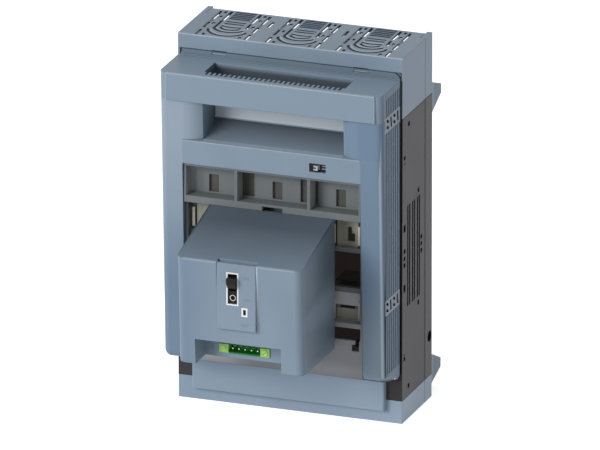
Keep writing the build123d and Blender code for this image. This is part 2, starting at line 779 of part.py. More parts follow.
# Lid frame: leaning front, two columns, grip bar over a hand recess, lower bar, open window
lock_face = lid_front(lock_centre + lock_height / 2) + lid_wall + 0.6
grip_foot = lid_top - grip_bar_height
recess_rear = y_base - grip_rear
with BuildPart() as lid_frame:
    with BuildSketch(across(0)):
        with BuildLine():
            Polyline(
                (y_lid, lid_top),
                (y_lid - lid_depth_top, lid_top),
                (y_lid - lid_depth_foot, lid_front_foot),
                (y_lid, lid_rear_foot),
                close=True,
            )
        make_face()
    extrude(amount=lid_half, both=True)
    toe = lid_frame.edges().filter_by(Axis.X).sort_by(Axis.Z)[1:2]
    fillet(toe, radius=lid_foot_round)
    corners = lid_frame.edges().filter_by(lambda e: e.length > 200 and e.center().Y < y_lid - 30)
    fillet(corners, radius=lid_corner)
    # Grip bar, a little proud of the columns
    with BuildSketch(facing(y_lid - lid_depth_top + lid_wall)):
        patch(-lid_half + lid_corner, lid_half - lid_corner, grip_foot, lid_top)
    extrude(amount=lid_wall + bar_proud)
    # Window for the carrier insert
    with BuildSketch(facing(y_lid)):
        patch(-column_inner, column_inner, lid_front_foot - 1.0, lower_bar_foot)
    extrude(amount=lid_depth_top + 10, mode=CUT)
    # Columns, hollow from behind
    for turn in (-1, 1):
        near = turn * (column_inner + lid_wall)
        far = turn * (lid_half - lid_wall)
        with BuildSketch(across(min(near, far))):
            with BuildLine():
                Polyline(
                    (y_lid + 1, lid_top - lid_wall),
                    (y_lid - lid_depth_top + lid_wall, lid_top - lid_wall),
                    (y_lid - lid_depth_foot + lid_wall, lid_front_foot + lid_wall),
                    (y_lid + 1, lid_rear_foot + lid_wall - 0.3),
                    close=True,
                )
            make_face()
        extrude(amount=abs(far - near), mode=CUT)
    # Space behind the lower bar and the recess's back wall
    with BuildSketch(across(0)):
        with BuildLine():
            Polyline(
                (y_lid + 1, lower_bar_foot + lid_wall),
                (lid_front(lower_bar_foot) + lid_wall, lower_bar_foot + lid_wall),
                (lid_front(lower_bar_top) + lid_wall, lower_bar_top - lid_wall - 1.0),
                (recess_rear + 1.5, lid_top - grip_bar_height - grip_drop - 4.0),
                (recess_rear + lid_wall, lid_top - grip_bar_height - grip_drop + 1.0),
                (recess_rear + lid_wall, lid_top - lid_wall),
                (y_lid + 1, lid_top - lid_wall),
                close=True,
            )
        make_face()
    extrude(amount=column_inner, both=True, mode=CUT)
    # Hand recess, open at the front and at the top, with its scooped floor
    with BuildSketch(across(0)):
        with BuildLine():
            floor_start = (recess_rear, grip_foot - grip_drop)
            floor_end = (lid_front(lower_bar_top) - 1.0, lower_bar_top)
            SagittaArc(floor_start, floor_end, scoop_rise - 3.0)
            Polyline(
                floor_end,
                (floor_end[0] - 20.0, lower_bar_top),
                (floor_end[0] - 20.0, grip_foot),
                (y_lid - lid_depth_top + grip_bar_wall + comb_depth, grip_foot),
                (y_lid - lid_depth_top + grip_bar_wall + comb_depth, lid_top + 5),
                (recess_rear, lid_top + 5),
                floor_start,
            )
        make_face()
    extrude(amount=grip_half, both=True, mode=CUT)
    # Finger scoops beside the recess, square to the leaning front
    for turn in (-1, 1):
        scoop_foot = (0, lid_front(lower_bar_top), lower_bar_top)
        with BuildSketch(Plane(origin=scoop_foot, x_dir=(1, 0, 0), z_dir=(0, -lid_lean, 1))):
            with BuildLine():
                scoop_out = (turn * scoop_half, -0.05)
                scoop_in = (turn * (grip_half - 0.5), scoop_rise)
                SagittaArc(scoop_out, scoop_in, turn * scoop_bulge)
                Polyline(scoop_in, (scoop_in[0], -12.0), (scoop_out[0], -12.0), scoop_out)
            make_face()
        extrude(amount=grip_foot - lower_bar_top - 0.4, mode=CUT)
    # Comb behind the grip bar
    with BuildSketch(level(lid_top)):
        with Locations((0, y_lid - lid_depth_top + grip_bar_wall + comb_depth / 2)):
            with GridLocations(comb_pitch, 1, comb_count, 1):
                Rectangle(comb_slot, comb_depth)
    extrude(amount=-grip_bar_height, mode=CUT)
    # Slot of the lock slider
    with BuildSketch(facing(y_lid)):
        block(lock_left + lock_width / 2, lock_centre, lock_width, lock_height)
    extrude(amount=lid_depth_top + 5, mode=CUT)
    # Two hooked rails that carry the lock slider behind the lower bar
    rail_back = lock_face + lock_thickness
    with BuildSketch(across(lock_left - 14.0)):
        for turn in (-1, 1):
            near = lock_centre + turn * (5.0 + seam)
            patch(lock_face - 1.6, rail_back + 1.6, near, near + turn * 1.4)
            patch(rail_back + 0.3, rail_back + 1.6, near - turn * 1.6, near)
    extrude(amount=lock_width + 26.0)
    # Ribbed sides, and two bands of vents on each side
    for turn in (-1, 1):
        with BuildSketch(across(turn * lid_half)):
            rib_row = y_lid - 1.6 - rib_pitch * (rib_count - 1) / 2
            rib_lows = (lid_front_foot + 4, band_lower + band_height, band_upper + band_height)
            rib_highs = (band_lower, band_upper, lid_top - 5)
            for low, high in zip(rib_lows, rib_highs):
                with Locations((rib_row, (low + high) / 2)):
                    with GridLocations(rib_pitch, 1, rib_count, 1):
                        Rectangle(rib_groove, high - low)
        extrude(amount=-turn * rib_depth, mode=CUT)
        with BuildSketch(across(turn * lid_half)):
            for foot in (band_lower, band_upper):
                with Locations(*[(y_lid - offset, foot + band_height / 2) for offset in (5.0, 20.0)]):
                    Rectangle(vent_slot_width, band_height - 3.2, rotation=turn * 8)
                for offset in (12.5, 27.5):
                    with Locations(*[(y_lid - offset, foot + share) for share in (3.4, 8.6)]):
                        Rectangle(5.0, vent_bar_height, rotation=turn * -24)
        extrude(amount=-turn * (lid_wall + 1), mode=CUT)
    # Room for the hinge ears, and the seats of the pins
    for turn in (-1, 1):
        ear_centre = turn * (ear_inner + ear_width / 2)
        with BuildSketch(across(ear_centre)):
            patch(hinge_y - ear_radius - 3.0, y_lid + 1, lid_rear_foot - 4, hinge_height + ear_radius + 3.0)
        extrude(amount=ear_width / 2 + 2 * seam, both=True, mode=CUT)
    with BuildSketch(across(0)):
        with Locations((hinge_y, hinge_height)):
            Circle(hinge_pin_radius)
    extrude(amount=lid_half - lid_wall + pin_seat, both=True, mode=CUT)
lid_frame.part.label = "lid_frame"

# Hinge pins, held in the column walls and turning in the ears
with BuildPart() as hinge_pins:
    for turn in (-1, 1):
        near = turn * (column_inner + 0.4)
        far = turn * (lid_half - lid_wall + pin_seat)
        with BuildSketch(across(min(near, far))):
            with Locations((hinge_y, hinge_height)):
                Circle(hinge_pin_radius)
        extrude(amount=abs(far - near))
hinge_pins.part.label = "hinge_pins"

# Carrier insert: plate with bays, cross bars, dividers, chamber ledges and apron
insert_half = column_inner - insert_top_gap
insert_foot = lid_front_foot - 1.0 + insert_top_gap
insert_top = lower_bar_foot - insert_top_gap
plate_y = y_base - insert_plate_front
insert_centre = (insert_foot + insert_top) / 2
lower_bar_z = 2 * z_mid - cross_bar_foot - 0.7
with BuildPart() as carrier_insert:
    with BuildSketch(facing(plate_y + insert_plate)):
        patch(-insert_half, insert_half, insert_foot, insert_top)
        for turn in (-1, 1):
            gap_left = turn * bay_gap_centre - bay_gap_width / 2
            patch(gap_left, gap_left + bay_gap_width, bay_slot_low, insert_top - insert_wall, mode=CUT)
        bay_slot_centre = (bay_slot_low + bay_slot_top) / 2
        for x in (-bay_pitch, 0, bay_pitch):
            block(x, bay_slot_centre, bay_slot_width, bay_slot_top - bay_slot_low, mode=CUT)
        for x in poles:
            reach = min(x + chamber_half, insert_half - insert_wall)
            start = max(x - chamber_half, -insert_half + insert_wall)
            patch(start, reach, chamber_low, chamber_top, mode=CUT)
            patch(start, reach, apron_top - 8.0, apron_top + 8.0, mode=CUT)
            patch(x, x + 6.0, chamber_top + 8.5, chamber_top + 15.0, mode=CUT)
            patch(x, x + 3.4, chamber_top + 15.0, chamber_top + 20.0, mode=CUT)
    extrude(amount=insert_plate)
    # Rim all round
    with BuildSketch(facing(y_base - insert_back)):
        block(0, insert_centre, 2 * insert_half, insert_top - insert_foot)
        inner_height = insert_top - insert_foot - 2 * insert_wall
        block(0, insert_centre, 2 * (insert_half - insert_wall), inner_height, mode=CUT)
    extrude(amount=apron_front - insert_back)
    with BuildSketch(facing(y_base - apron_front)):
        for turn in (-1, 1):
            patch(turn * (insert_half - insert_wall), turn * insert_half, cross_bar_foot, insert_top)
        patch(-insert_half, insert_half, insert_top - insert_wall, insert_top)
    extrude(amount=insert_front - apron_front)
    # Cross bars and dividers
    with BuildSketch(facing(y_base - insert_front + cross_bar_depth)):
        patch(-insert_half, insert_half, cross_bar_foot, cross_bar_top)
        block(0, cross_bar_foot, latch_notch_width, 2 * latch_notch_height, mode=CUT)
    extrude(amount=cross_bar_depth)
    with BuildSketch(facing(plate_y)):
        patch(-insert_half, insert_half, cross_bar_foot + latch_notch_height, cross_bar_top)
        for turn in (-1, 1):
            block(turn * divider_offset, insert_centre, divider_width, insert_top - insert_foot)
            block(turn * divider_offset, insert_foot, 10, 2 * (apron_top - insert_foot), mode=CUT)
    extrude(amount=insert_front - insert_plate_front)
    with BuildSketch(facing(plate_y)):
        patch(-insert_half, insert_half, lower_bar_z - 4.0, lower_bar_z)
    extrude(amount=apron_front + 0.9 - insert_plate_front)
    # Ledges of the chambers
    with BuildSketch(facing(plate_y)):
        patch(-insert_half, insert_half, chamber_top, chamber_top + ledge_height)
        patch(-insert_half, insert_half, chamber_low - ledge_height, chamber_low)
    extrude(amount=ledge_reach)
    # Stiffening walls behind the plate, between the poles
    with BuildSketch(facing(y_base - insert_back)):
        for turn in (-1, 1):
            patch(turn * pole_pitch / 2 - 1.0, turn * pole_pitch / 2 + 1.0, insert_foot, cross_bar_top)
    extrude(amount=insert_plate_front - insert_back)
    # Apron with its hooked upper edge
    with BuildSketch(facing(y_base - apron_front + apron_thickness)):
        patch(-insert_half, insert_half, insert_foot, apron_top)
        for turn in (-1, 1):
            block(turn * (insert_half - 6.0), apron_top - 6.0, 6.0, 5.2, mode=CUT)
            block(turn * (insert_half - 4.6), apron_top - 2.0, 3.4, 4.2, mode=CUT)
    extrude(amount=apron_thickness)
carrier_insert.part.label = "carrier_insert"

# Smoked pane behind the bays, over which the slots show grey
with BuildPart() as inspection_pane:
    pane_face = plate_y + insert_plate + pane_gap
    with BuildSketch(facing(pane_face + pane_thickness)):
        pane_half = insert_half - insert_wall - seam
        patch(-pane_half, pane_half, cross_bar_top + seam, insert_top - insert_wall - seam)
    extrude(amount=pane_thickness)
inspection_pane.part.label = "inspection_pane"


def grip_outline(x, turn):
    """Plan of a folded spring strip beside a fuse's gripping lug."""
    root = plate_y
    crest = plate_y - grip_fold
    return [
        (x + turn * grip_outer, root),
        (x + turn * grip_outer, root - 1.0),
        (x + turn * grip_ridge, crest),
        (x + turn * grip_inner, crest + 0.8),
        (x + turn * grip_inner, crest + 0.8 + grip_sheet),
        (x + turn * grip_ridge, crest + grip_sheet),
        (x + turn * (grip_outer - grip_sheet), root - 1.0 + grip_sheet / 2),
        (x + turn * (grip_outer - grip_sheet), root),
    ]


with BuildPart() as upper_fuse_grips:
    with BuildSketch(level(upper_grip_low)):
        for x in poles:
            for turn in (-1, 1):
                Polygon(*grip_outline(x, turn), align=None)
    extrude(amount=grip_length)
upper_fuse_grips.part.label = "upper_fuse_grips"

with BuildPart() as lower_fuse_grips:
    with BuildSketch(level(lower_grip_low)):
        for x in poles:
            for turn in (-1, 1):
                Polygon(*grip_outline(x, turn), align=None)
    extrude(amount=grip_length)
lower_fuse_grips.part.label = "lower_fuse_grips"

# Lock slider: a plate behind the lower bar's face with a thumb block in the slot
with BuildPart() as lock_slider:
    with BuildSketch(facing(lock_face + lock_thickness)):
        patch(lock_left - 8.0, lock_left + lock_width + 2.0, lock_centre - 5.0, lock_centre + 5.0)
    extrude(amount=lock_thickness)
    with BuildSketch(facing(lock_face)):
        block(lock_left + 0.6 + lock_thumb_width / 2, lock_centre, lock_thumb_width, lock_height - 2 * seam)
    extrude(amount=lid_wall)
lock_slider.part.label = "lock_slider"

# Monitoring box: drafted front, sloping roof, bay for the header, open at the back
roof_rear = box_brow + box_roof_rise
y_box_rear = y_base - box_rear
bay_top = box_foot + plug_bay_height
bay_wall_y = y_base - box_reach + plug_bay_depth
header_front = bay_wall_y - header_proud
header_rear = header_front + header_depth
header_body = header_pitch * header_poles + 3.0
header_total = header_pitch * header_poles + 2 * header_flange
with BuildPart() as monitor_box:
    with BuildSketch(across(0)):
        with BuildLine():
            Polyline(
                (y_box_rear, box_foot),
                (box_front(box_foot), box_foot),
                (box_front(box_brow), box_brow),
                (y_box_rear, roof_rear),
                close=True,
            )
        make_face()
    extrude(amount=box_half, both=True)
    upright = monitor_box.edges().filter_by(lambda e: 80 < e.length < 95)
    fillet(upright.group_by(Axis.Y)[0], radius=box_corner)
    with BuildSketch(across(0)):
        with BuildLine():
            Polyline(
                (y_box_rear, box_foot + box_wall),
                (bay_wall_y + box_wall, box_foot + box_wall),
                (bay_wall_y + box_wall, bay_top + box_wall),
                (box_front(bay_top) + box_wall, bay_top + box_wall),
                (box_front(box_brow) + box_wall, box_brow - box_wall),
                (y_box_rear, roof_rear - box_wall),
                close=True,
            )
        make_face()
    extrude(amount=box_half - box_wall, both=True, mode=CUT)
    with BuildSketch(level(box_foot)):
        patch(plug_bay_left, plug_bay_right, y_base - box_reach - 1, bay_wall_y)
    extrude(amount=plug_bay_height, mode=CUT)
    # Opening for the breaker's front panel
    with BuildSketch(facing(y_base - box_reach - 5)):
        patch(panel_left - panel_gap, panel_right + seam, panel_foot - seam, box_brow + 5)
    extrude(amount=-(box_wall + 8.5), mode=CUT)
    # Way through the bay's back wall for the header
    with BuildSketch(facing(bay_wall_y)):
        block(header_centre_x, header_centre_z, header_total + seam, header_height + seam)
    extrude(amount=-box_wall, mode=CUT)
monitor_box.part.label = "monitor_box"

# Back plate of the box, with the tab that enters the insert's notch
back_half = box_half - box_wall - seam
with BuildPart() as box_back_plate:
    with BuildSketch(facing(y_box_rear)):
        patch(-back_half, back_half, box_foot + box_wall + seam, roof_rear - box_wall - seam - 1.0)
    extrude(amount=back_plate_thickness)
    with BuildSketch(facing(y_box_rear)):
        block(0, cross_bar_foot - 2.1, latch_notch_width - 2 * seam, 3.8)
    extrude(amount=-3.0)
    with BuildSketch(facing(y_box_rear)):
        with GridLocations(2 * (back_half - 6.0), 74.0, 2, 2):
            with Locations((0, (box_foot + box_brow) / 2)):
                RegularPolygon(back_plate_screw_radius + running_gap, round_sides)
    extrude(amount=back_plate_thickness, mode=CUT)
box_back_plate.part.label = "box_back_plate"

with BuildPart() as back_plate_screws:
    with BuildSketch(facing(y_box_rear)):
        with GridLocations(2 * (back_half - 6.0), 74.0, 2, 2):
            with Locations((0, (box_foot + box_brow) / 2)):
                RegularPolygon(back_plate_screw_head, round_sides)
    extrude(amount=-1.6)
    with BuildSketch(facing(y_box_rear)):
        with GridLocations(2 * (back_half - 6.0), 74.0, 2, 2):
            with Locations((0, (box_foot + box_brow) / 2)):
                RegularPolygon(back_plate_screw_radius, round_sides)
    extrude(amount=8.0)
back_plate_screws.part.label = "back_plate_screws"

# Breaker body inside the box, with a cradle for the rocker and wells for dial and test button
panel_front = y_base - box_reach - panel_proud
breaker_front = panel_front + breaker_front_gap
rocker_axis_z = (rocker_split + rocker_top) / 2
rocker_axis_y = panel_front + panel_thickness + 2.6
with BuildPart() as breaker_body:
    with BuildSketch(level(breaker_foot)):
        patch(-breaker_side - 2.0, breaker_side - 2.0, breaker_front, y_box_rear - back_plate_thickness)
    extrude(amount=box_brow - 4.0 - breaker_foot)
    with BuildSketch(facing(breaker_front)):
        patch(rocker_left, rocker_right, rocker_split, rocker_top)
    extrude(amount=-6.0, mode=CUT)
    with BuildSketch(facing(breaker_front)):
        with Locations(((rocker_left + rocker_right) / 2, (rocker_foot + rocker_split) / 2 - 0.4)):
            Circle(dial_radius - 1.2 + running_gap)
        patch(test_left + 0.45, test_right - 0.45, test_foot + 0.45, test_foot + test_height - 0.45)
    extrude(amount=-6.0, mode=CUT)
breaker_body.part.label = "breaker_body"

# Breaker front panel, with the window of the rocker and that of the test button
with BuildPart() as breaker_panel:
    with BuildSketch(facing(panel_front + panel_thickness)):
        patch(panel_left, panel_right, panel_foot, box_brow + panel_proud)
        patch(rocker_left, rocker_right, rocker_foot, rocker_top, mode=CUT)
        patch(test_left, test_right, test_foot, test_foot + test_height, mode=CUT)
    extrude(amount=panel_thickness)
    with BuildSketch(facing(breaker_front)):
        patch(panel_left + 1.0, panel_left + 3.0, panel_foot + 2.0, box_brow - 5.0)
        patch(panel_right - 3.0, panel_right - 1.0, panel_foot + 2.0, box_brow - 5.0)
    extrude(amount=breaker_front_gap - panel_thickness)
breaker_panel.part.label = "breaker_panel"

# Light rims round the two windows
with BuildPart() as window_rims:
    with BuildSketch(facing(panel_front)):
        rim = rocker_rim
        patch(rocker_left - rim, rocker_right + rim, rocker_foot - rim, rocker_top + rim)
        patch(rocker_left, rocker_right, rocker_foot, rocker_top, mode=CUT)
        with Locations(((test_left + test_right) / 2, test_foot + test_height / 2)):
            Rectangle(test_right - test_left + 1.6, test_height + 1.6)
            Rectangle(test_right - test_left - 1.0, test_height - 1.0, mode=CUT)
    extrude(amount=rim_proud)
window_rims.part.label = "window_rims"

# Black escutcheon below the rocker, with the dial's well
dial_x = (rocker_left + rocker_right) / 2
dial_z = (rocker_foot + rocker_split) / 2 - 0.4
with BuildPart() as dial_escutcheon:
    with BuildSketch(facing(breaker_front)):
        patch(rocker_left + seam, rocker_right - seam, rocker_foot + seam, rocker_split - seam)
        with Locations((dial_x, dial_z)):
            Circle(dial_radius + running_gap, mode=CUT)
    extrude(amount=breaker_front_gap - 1.2)
dial_escutcheon.part.label = "dial_escutcheon"

# Setting dial with its screwdriver slot
with BuildPart() as setting_dial:
    with BuildSketch(facing(breaker_front)):
        with Locations((dial_x, dial_z)):
            Circle(dial_radius)
    extrude(amount=breaker_front_gap - 0.8)
    with BuildSketch(facing(breaker_front)):
        with Locations((dial_x, dial_z)):
            Circle(dial_radius - 1.2)
    extrude(amount=-dial_depth)
    with BuildSketch(facing(panel_front + 0.8)):
        with Locations((dial_x, dial_z)):
            Rectangle(2 * (dial_radius - 0.8), dial_slot)
            Rectangle(dial_slot, 2 * (dial_radius - 0.8))
    extrude(amount=-1.2, mode=CUT)
setting_dial.part.label = "setting_dial"

# Rocker: curved thumb lobe that stands proud at its top, on its own axle
with BuildPart() as rocker:
    with BuildSketch(across(dial_x)):
        with BuildLine():
            crown = (panel_front - rocker_proud, rocker_top - 2.8)
            chin = (panel_front + 0.4, rocker_split + 1.2)
            Polyline(
                (rocker_axis_y + 2.2, rocker_split + 2.6),
                (rocker_axis_y + 2.2, rocker_top - 2.4),
                (panel_front - 1.0, rocker_top - 2.2),
                crown,
            )
            SagittaArc(crown, chin, -1.6)
            Line(chin, (rocker_axis_y + 2.2, rocker_split + 2.6))
        make_face()
        with Locations((rocker_axis_y, rocker_axis_z)):
            Circle(rocker_axle_radius + running_gap, mode=CUT)
    extrude(amount=(rocker_right - rocker_left) / 2 - rocker_clearance, both=True)
rocker.part.label = "rocker"

with BuildPart() as rocker_axle:
    with BuildSketch(across(dial_x)):
        with Locations((rocker_axis_y, rocker_axis_z)):
            Circle(rocker_axle_radius)
    extrude(amount=(rocker_right - rocker_left) / 2 + 1.5, both=True)
    for turn in (-1, 1):
        plate_x = dial_x + turn * ((rocker_right - rocker_left) / 2 + 0.7)
        with BuildSketch(across(plate_x)):
            patch(rocker_axis_y - 2.4, breaker_front, rocker_axis_z - 3.0, rocker_axis_z + 3.0)
        extrude(amount=0.6, both=True)
rocker_axle.part.label = "rocker_axle"

# Test button
test_x = (test_left + test_right) / 2
test_z = test_foot + test_height / 2
button_width = test_right - test_left - 2 * test_inset
button_height = test_height - 2 * test_inset
with BuildPart() as test_button:
    with BuildSketch(facing(panel_front + test_recess + 5.0)):
        block(test_x, test_z, button_width, button_height)
    extrude(amount=5.0)
    with BuildSketch(facing(breaker_front + 4.0)):
        block(test_x, test_z, button_width, button_height)
    extrude(amount=breaker_front + 4.0 - panel_front - test_recess - 5.0)
test_button.part.label = "test_button"

# Circuit board behind the header
board_front = header_rear + running_gap
with BuildPart() as circuit_board:
    with BuildSketch(facing(board_front + board_thickness)):
        patch(-back_half + 1.5, back_half - 1.5, box_foot + box_wall + 0.4, bay_top - 1.0)
    extrude(amount=board_thickness)
    with BuildSketch(facing(board_front)):
        for x in (-40.0, 40.0):
            with Locations((x, box_foot + box_wall + 6.0)):
                Rectangle(5.0, 5.0)
    extrude(amount=board_front - bay_wall_y - box_wall)
circuit_board.part.label = "circuit_board"

# Flanged header: shrouded body with a flange and a threaded bush at each end
with BuildPart() as header_housing:
    with BuildSketch(facing(header_rear)):
        block(header_centre_x, header_centre_z, header_total, header_height)
    extrude(amount=header_depth)
    with BuildSketch(facing(header_front)):
        shroud = header_body - 2 * header_wall
        block(header_centre_x, header_centre_z, shroud, header_height - 2 * header_wall)
        with Locations((header_centre_x, header_centre_z + header_height / 2)):
            with GridLocations(header_pitch, 1, header_poles, 1):
                Rectangle(2.6, 2 * header_wall + 1.0)
        with Locations((header_centre_x, header_centre_z)):
            with GridLocations(header_total - header_flange + 0.8, 1, 2, 1):
                RegularPolygon(flange_screw_radius, round_sides)
    extrude(amount=-(header_depth - 1.5), mode=CUT)
    with BuildSketch(facing(header_rear)):
        with Locations((header_centre_x, header_centre_z)):
            with GridLocations(header_pitch, 1, header_poles, 1):
                Rectangle(header_pin, header_pin)
    extrude(amount=header_depth, mode=CUT)
header_housing.part.label = "header_housing"

with BuildPart() as header_pins:
    with BuildSketch(facing(header_rear)):
        with Locations((header_centre_x, header_centre_z)):
            with GridLocations(header_pitch, 1, header_poles, 1):
                Rectangle(header_pin, header_pin)
    extrude(amount=header_depth - 2.0)
header_pins.part.label = "header_pins"

# Screws in the header's flanges
with BuildPart() as flange_screws:
    with BuildSketch(facing(header_front)):
        with Locations((header_centre_x, header_centre_z)):
            with GridLocations(header_total - header_flange + 0.8, 1, 2, 1):
                RegularPolygon(flange_screw_head, round_sides)
                Rectangle(3.4, 0.7, rotation=35, mode=CUT)
    extrude(amount=0.8)
    with BuildSketch(facing(header_front)):
        with Locations((header_centre_x, header_centre_z)):
            with GridLocations(header_total - header_flange + 0.8, 1, 2, 1):
                RegularPolygon(flange_screw_radius, round_sides)
    extrude(amount=-5.0)
flange_screws.part.label = "flange_screws"

separate_parts = (
    base_housing, busbar_adapter, adapter_screws, top_cover, top_rear_cover,
    bottom_cover, bottom_rear_cover, upper_claws, lower_claws, masking_frame,
    jaw_springs, arc_plates, terminal_bolts, terminal_nuts,
    lid_frame, hinge_pins, carrier_insert, inspection_pane, upper_fuse_grips,
    lower_fuse_grips, lock_slider,
    monitor_box, box_back_plate, back_plate_screws, breaker_body, breaker_panel, window_rims,
    dial_escutcheon, setting_dial, rocker, rocker_axle, test_button,
    circuit_board, header_housing, header_pins, flange_screws,
)
for piece in separate_parts:
    export_step(piece.part, f"parts/{piece.part.label}.step")
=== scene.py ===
"""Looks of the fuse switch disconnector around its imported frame."""
import json
import math

import bpy
import numpy as np
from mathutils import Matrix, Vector


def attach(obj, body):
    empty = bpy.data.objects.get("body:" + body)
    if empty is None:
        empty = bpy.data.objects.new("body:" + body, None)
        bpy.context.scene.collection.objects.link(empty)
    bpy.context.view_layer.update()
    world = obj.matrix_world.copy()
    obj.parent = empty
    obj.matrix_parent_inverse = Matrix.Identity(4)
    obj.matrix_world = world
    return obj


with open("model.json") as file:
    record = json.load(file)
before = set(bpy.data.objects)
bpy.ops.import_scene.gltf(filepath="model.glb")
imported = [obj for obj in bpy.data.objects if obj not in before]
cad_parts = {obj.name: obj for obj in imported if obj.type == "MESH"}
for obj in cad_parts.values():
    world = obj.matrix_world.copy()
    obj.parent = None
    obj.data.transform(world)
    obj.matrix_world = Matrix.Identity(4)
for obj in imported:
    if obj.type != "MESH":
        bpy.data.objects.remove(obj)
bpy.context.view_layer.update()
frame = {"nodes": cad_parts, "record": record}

bl_info = {
    "name": "Fuse Switch Disconnector",
    "version": (1, 0, 0),
    "blender": (4, 5, 0),
    "location": "View3D > Sidebar > Fuse Switch",
    "description": "Finishes, small marks, light and camera for a three-pole fuse switch disconnector",
    "category": "Object",
}

MM = 0.001

# Depth of the base's front plane behind the frame's origin
BASE_FRONT = 16.2 * MM

# Places and sizes below are in millimetres, with depths from the base's front plane.
# Roof, and the seams of the covers and of the rear slice
ROOF = 298.0
TOP_COVER_FOOT = 249.0
BOTTOM_COVER_TOP = 18.4
SPLIT = 51.5
# Slab that holds a side face, depth behind covers and adapter, and distance beyond all sides
SIDE_IN, SIDE_OUT = 91.5, 93.0
REAR = 71.0
WIDE = 95.0
# Heights from under the foot to over the roof
ALL_HEIGHTS = (-1, 300)

# Poles of the device, the openings of its sides, its masking frame and its top cover
POLES = (-57.5, 0.0, 57.5)
SIDE_MIDDLE = 133.9
VENT_FIRST, VENT_PITCH, VENT_SPACING = 14.5, 11.0, 4.2
MASK_TOP = 285.6
SNAPS = (-58.0, 58.0)
FAN_RADII = (16.3, 14.8, 9.8, 25.0)
FAN_LOWS = (3.9, 13.0, 18.3, 24.8)
FAN_REACHES = (16.3, 12.0, 8.0, 8.4)

# Lid
LID_TOP = 281.0
LID_BACK = -2.9
COLUMN_INNER = 72.8
GRIP_BAR_FOOT = 259.0
RECESS_HALF = 57.5
RECESS_BACK = -11.0
LOWER_BAR_TOP = 227.0
RIB_FACE = 90.7
BANDS = (99.6, 248.6)
BAND_HEIGHT = 12.0
# Depth in front of every face of the lid
AHEAD = -60.0

# Box on the lid, with its dial and header as (x, height)
BOX_BROW = 157.4
BOX_AHEAD = -120.0
PANEL_EDGE = 13.6
DIAL = (-4.85, 129.9)
DIAL_RING = (1.85, 2.5)
DIAL_REACH = 5.0
HEADER = (-4.8, 78.4)
FLANGE_OFFSET = 16.9

# Spread of a zone's change of colour that looks like a sharp edge
SHARP = (0.05, 0.05, 0.05)

# Specular level of the mouldings, whose spark-eroded surface reflects less than a polished one
MOULDING_SHINE = 0.16


def srgb(code):
    """Linear colour of an sRGB hex code such as #8C9EAF, with full opacity."""
    parts = [int(code[i:i + 2], 16) / 255 for i in (1, 3, 5)]
    linear = [p / 12.92 if p <= 0.04045 else ((p + 0.055) / 1.055) ** 2.4 for p in parts]
    return (*linear, 1.0)


def colour_property(name, description, code):
    """A colour setting with its default given as an sRGB hex code."""
    return bpy.props.FloatVectorProperty(
        name=name, description=description, subtype="COLOR", size=4, min=0.0, max=1.0, default=srgb(code)
    )


def length_property(name, description, millimetres):
    """A length setting whose default is given in millimetres."""
    return bpy.props.FloatProperty(
        name=name, description=description, unit="LENGTH", subtype="DISTANCE", default=millimetres * MM
    )


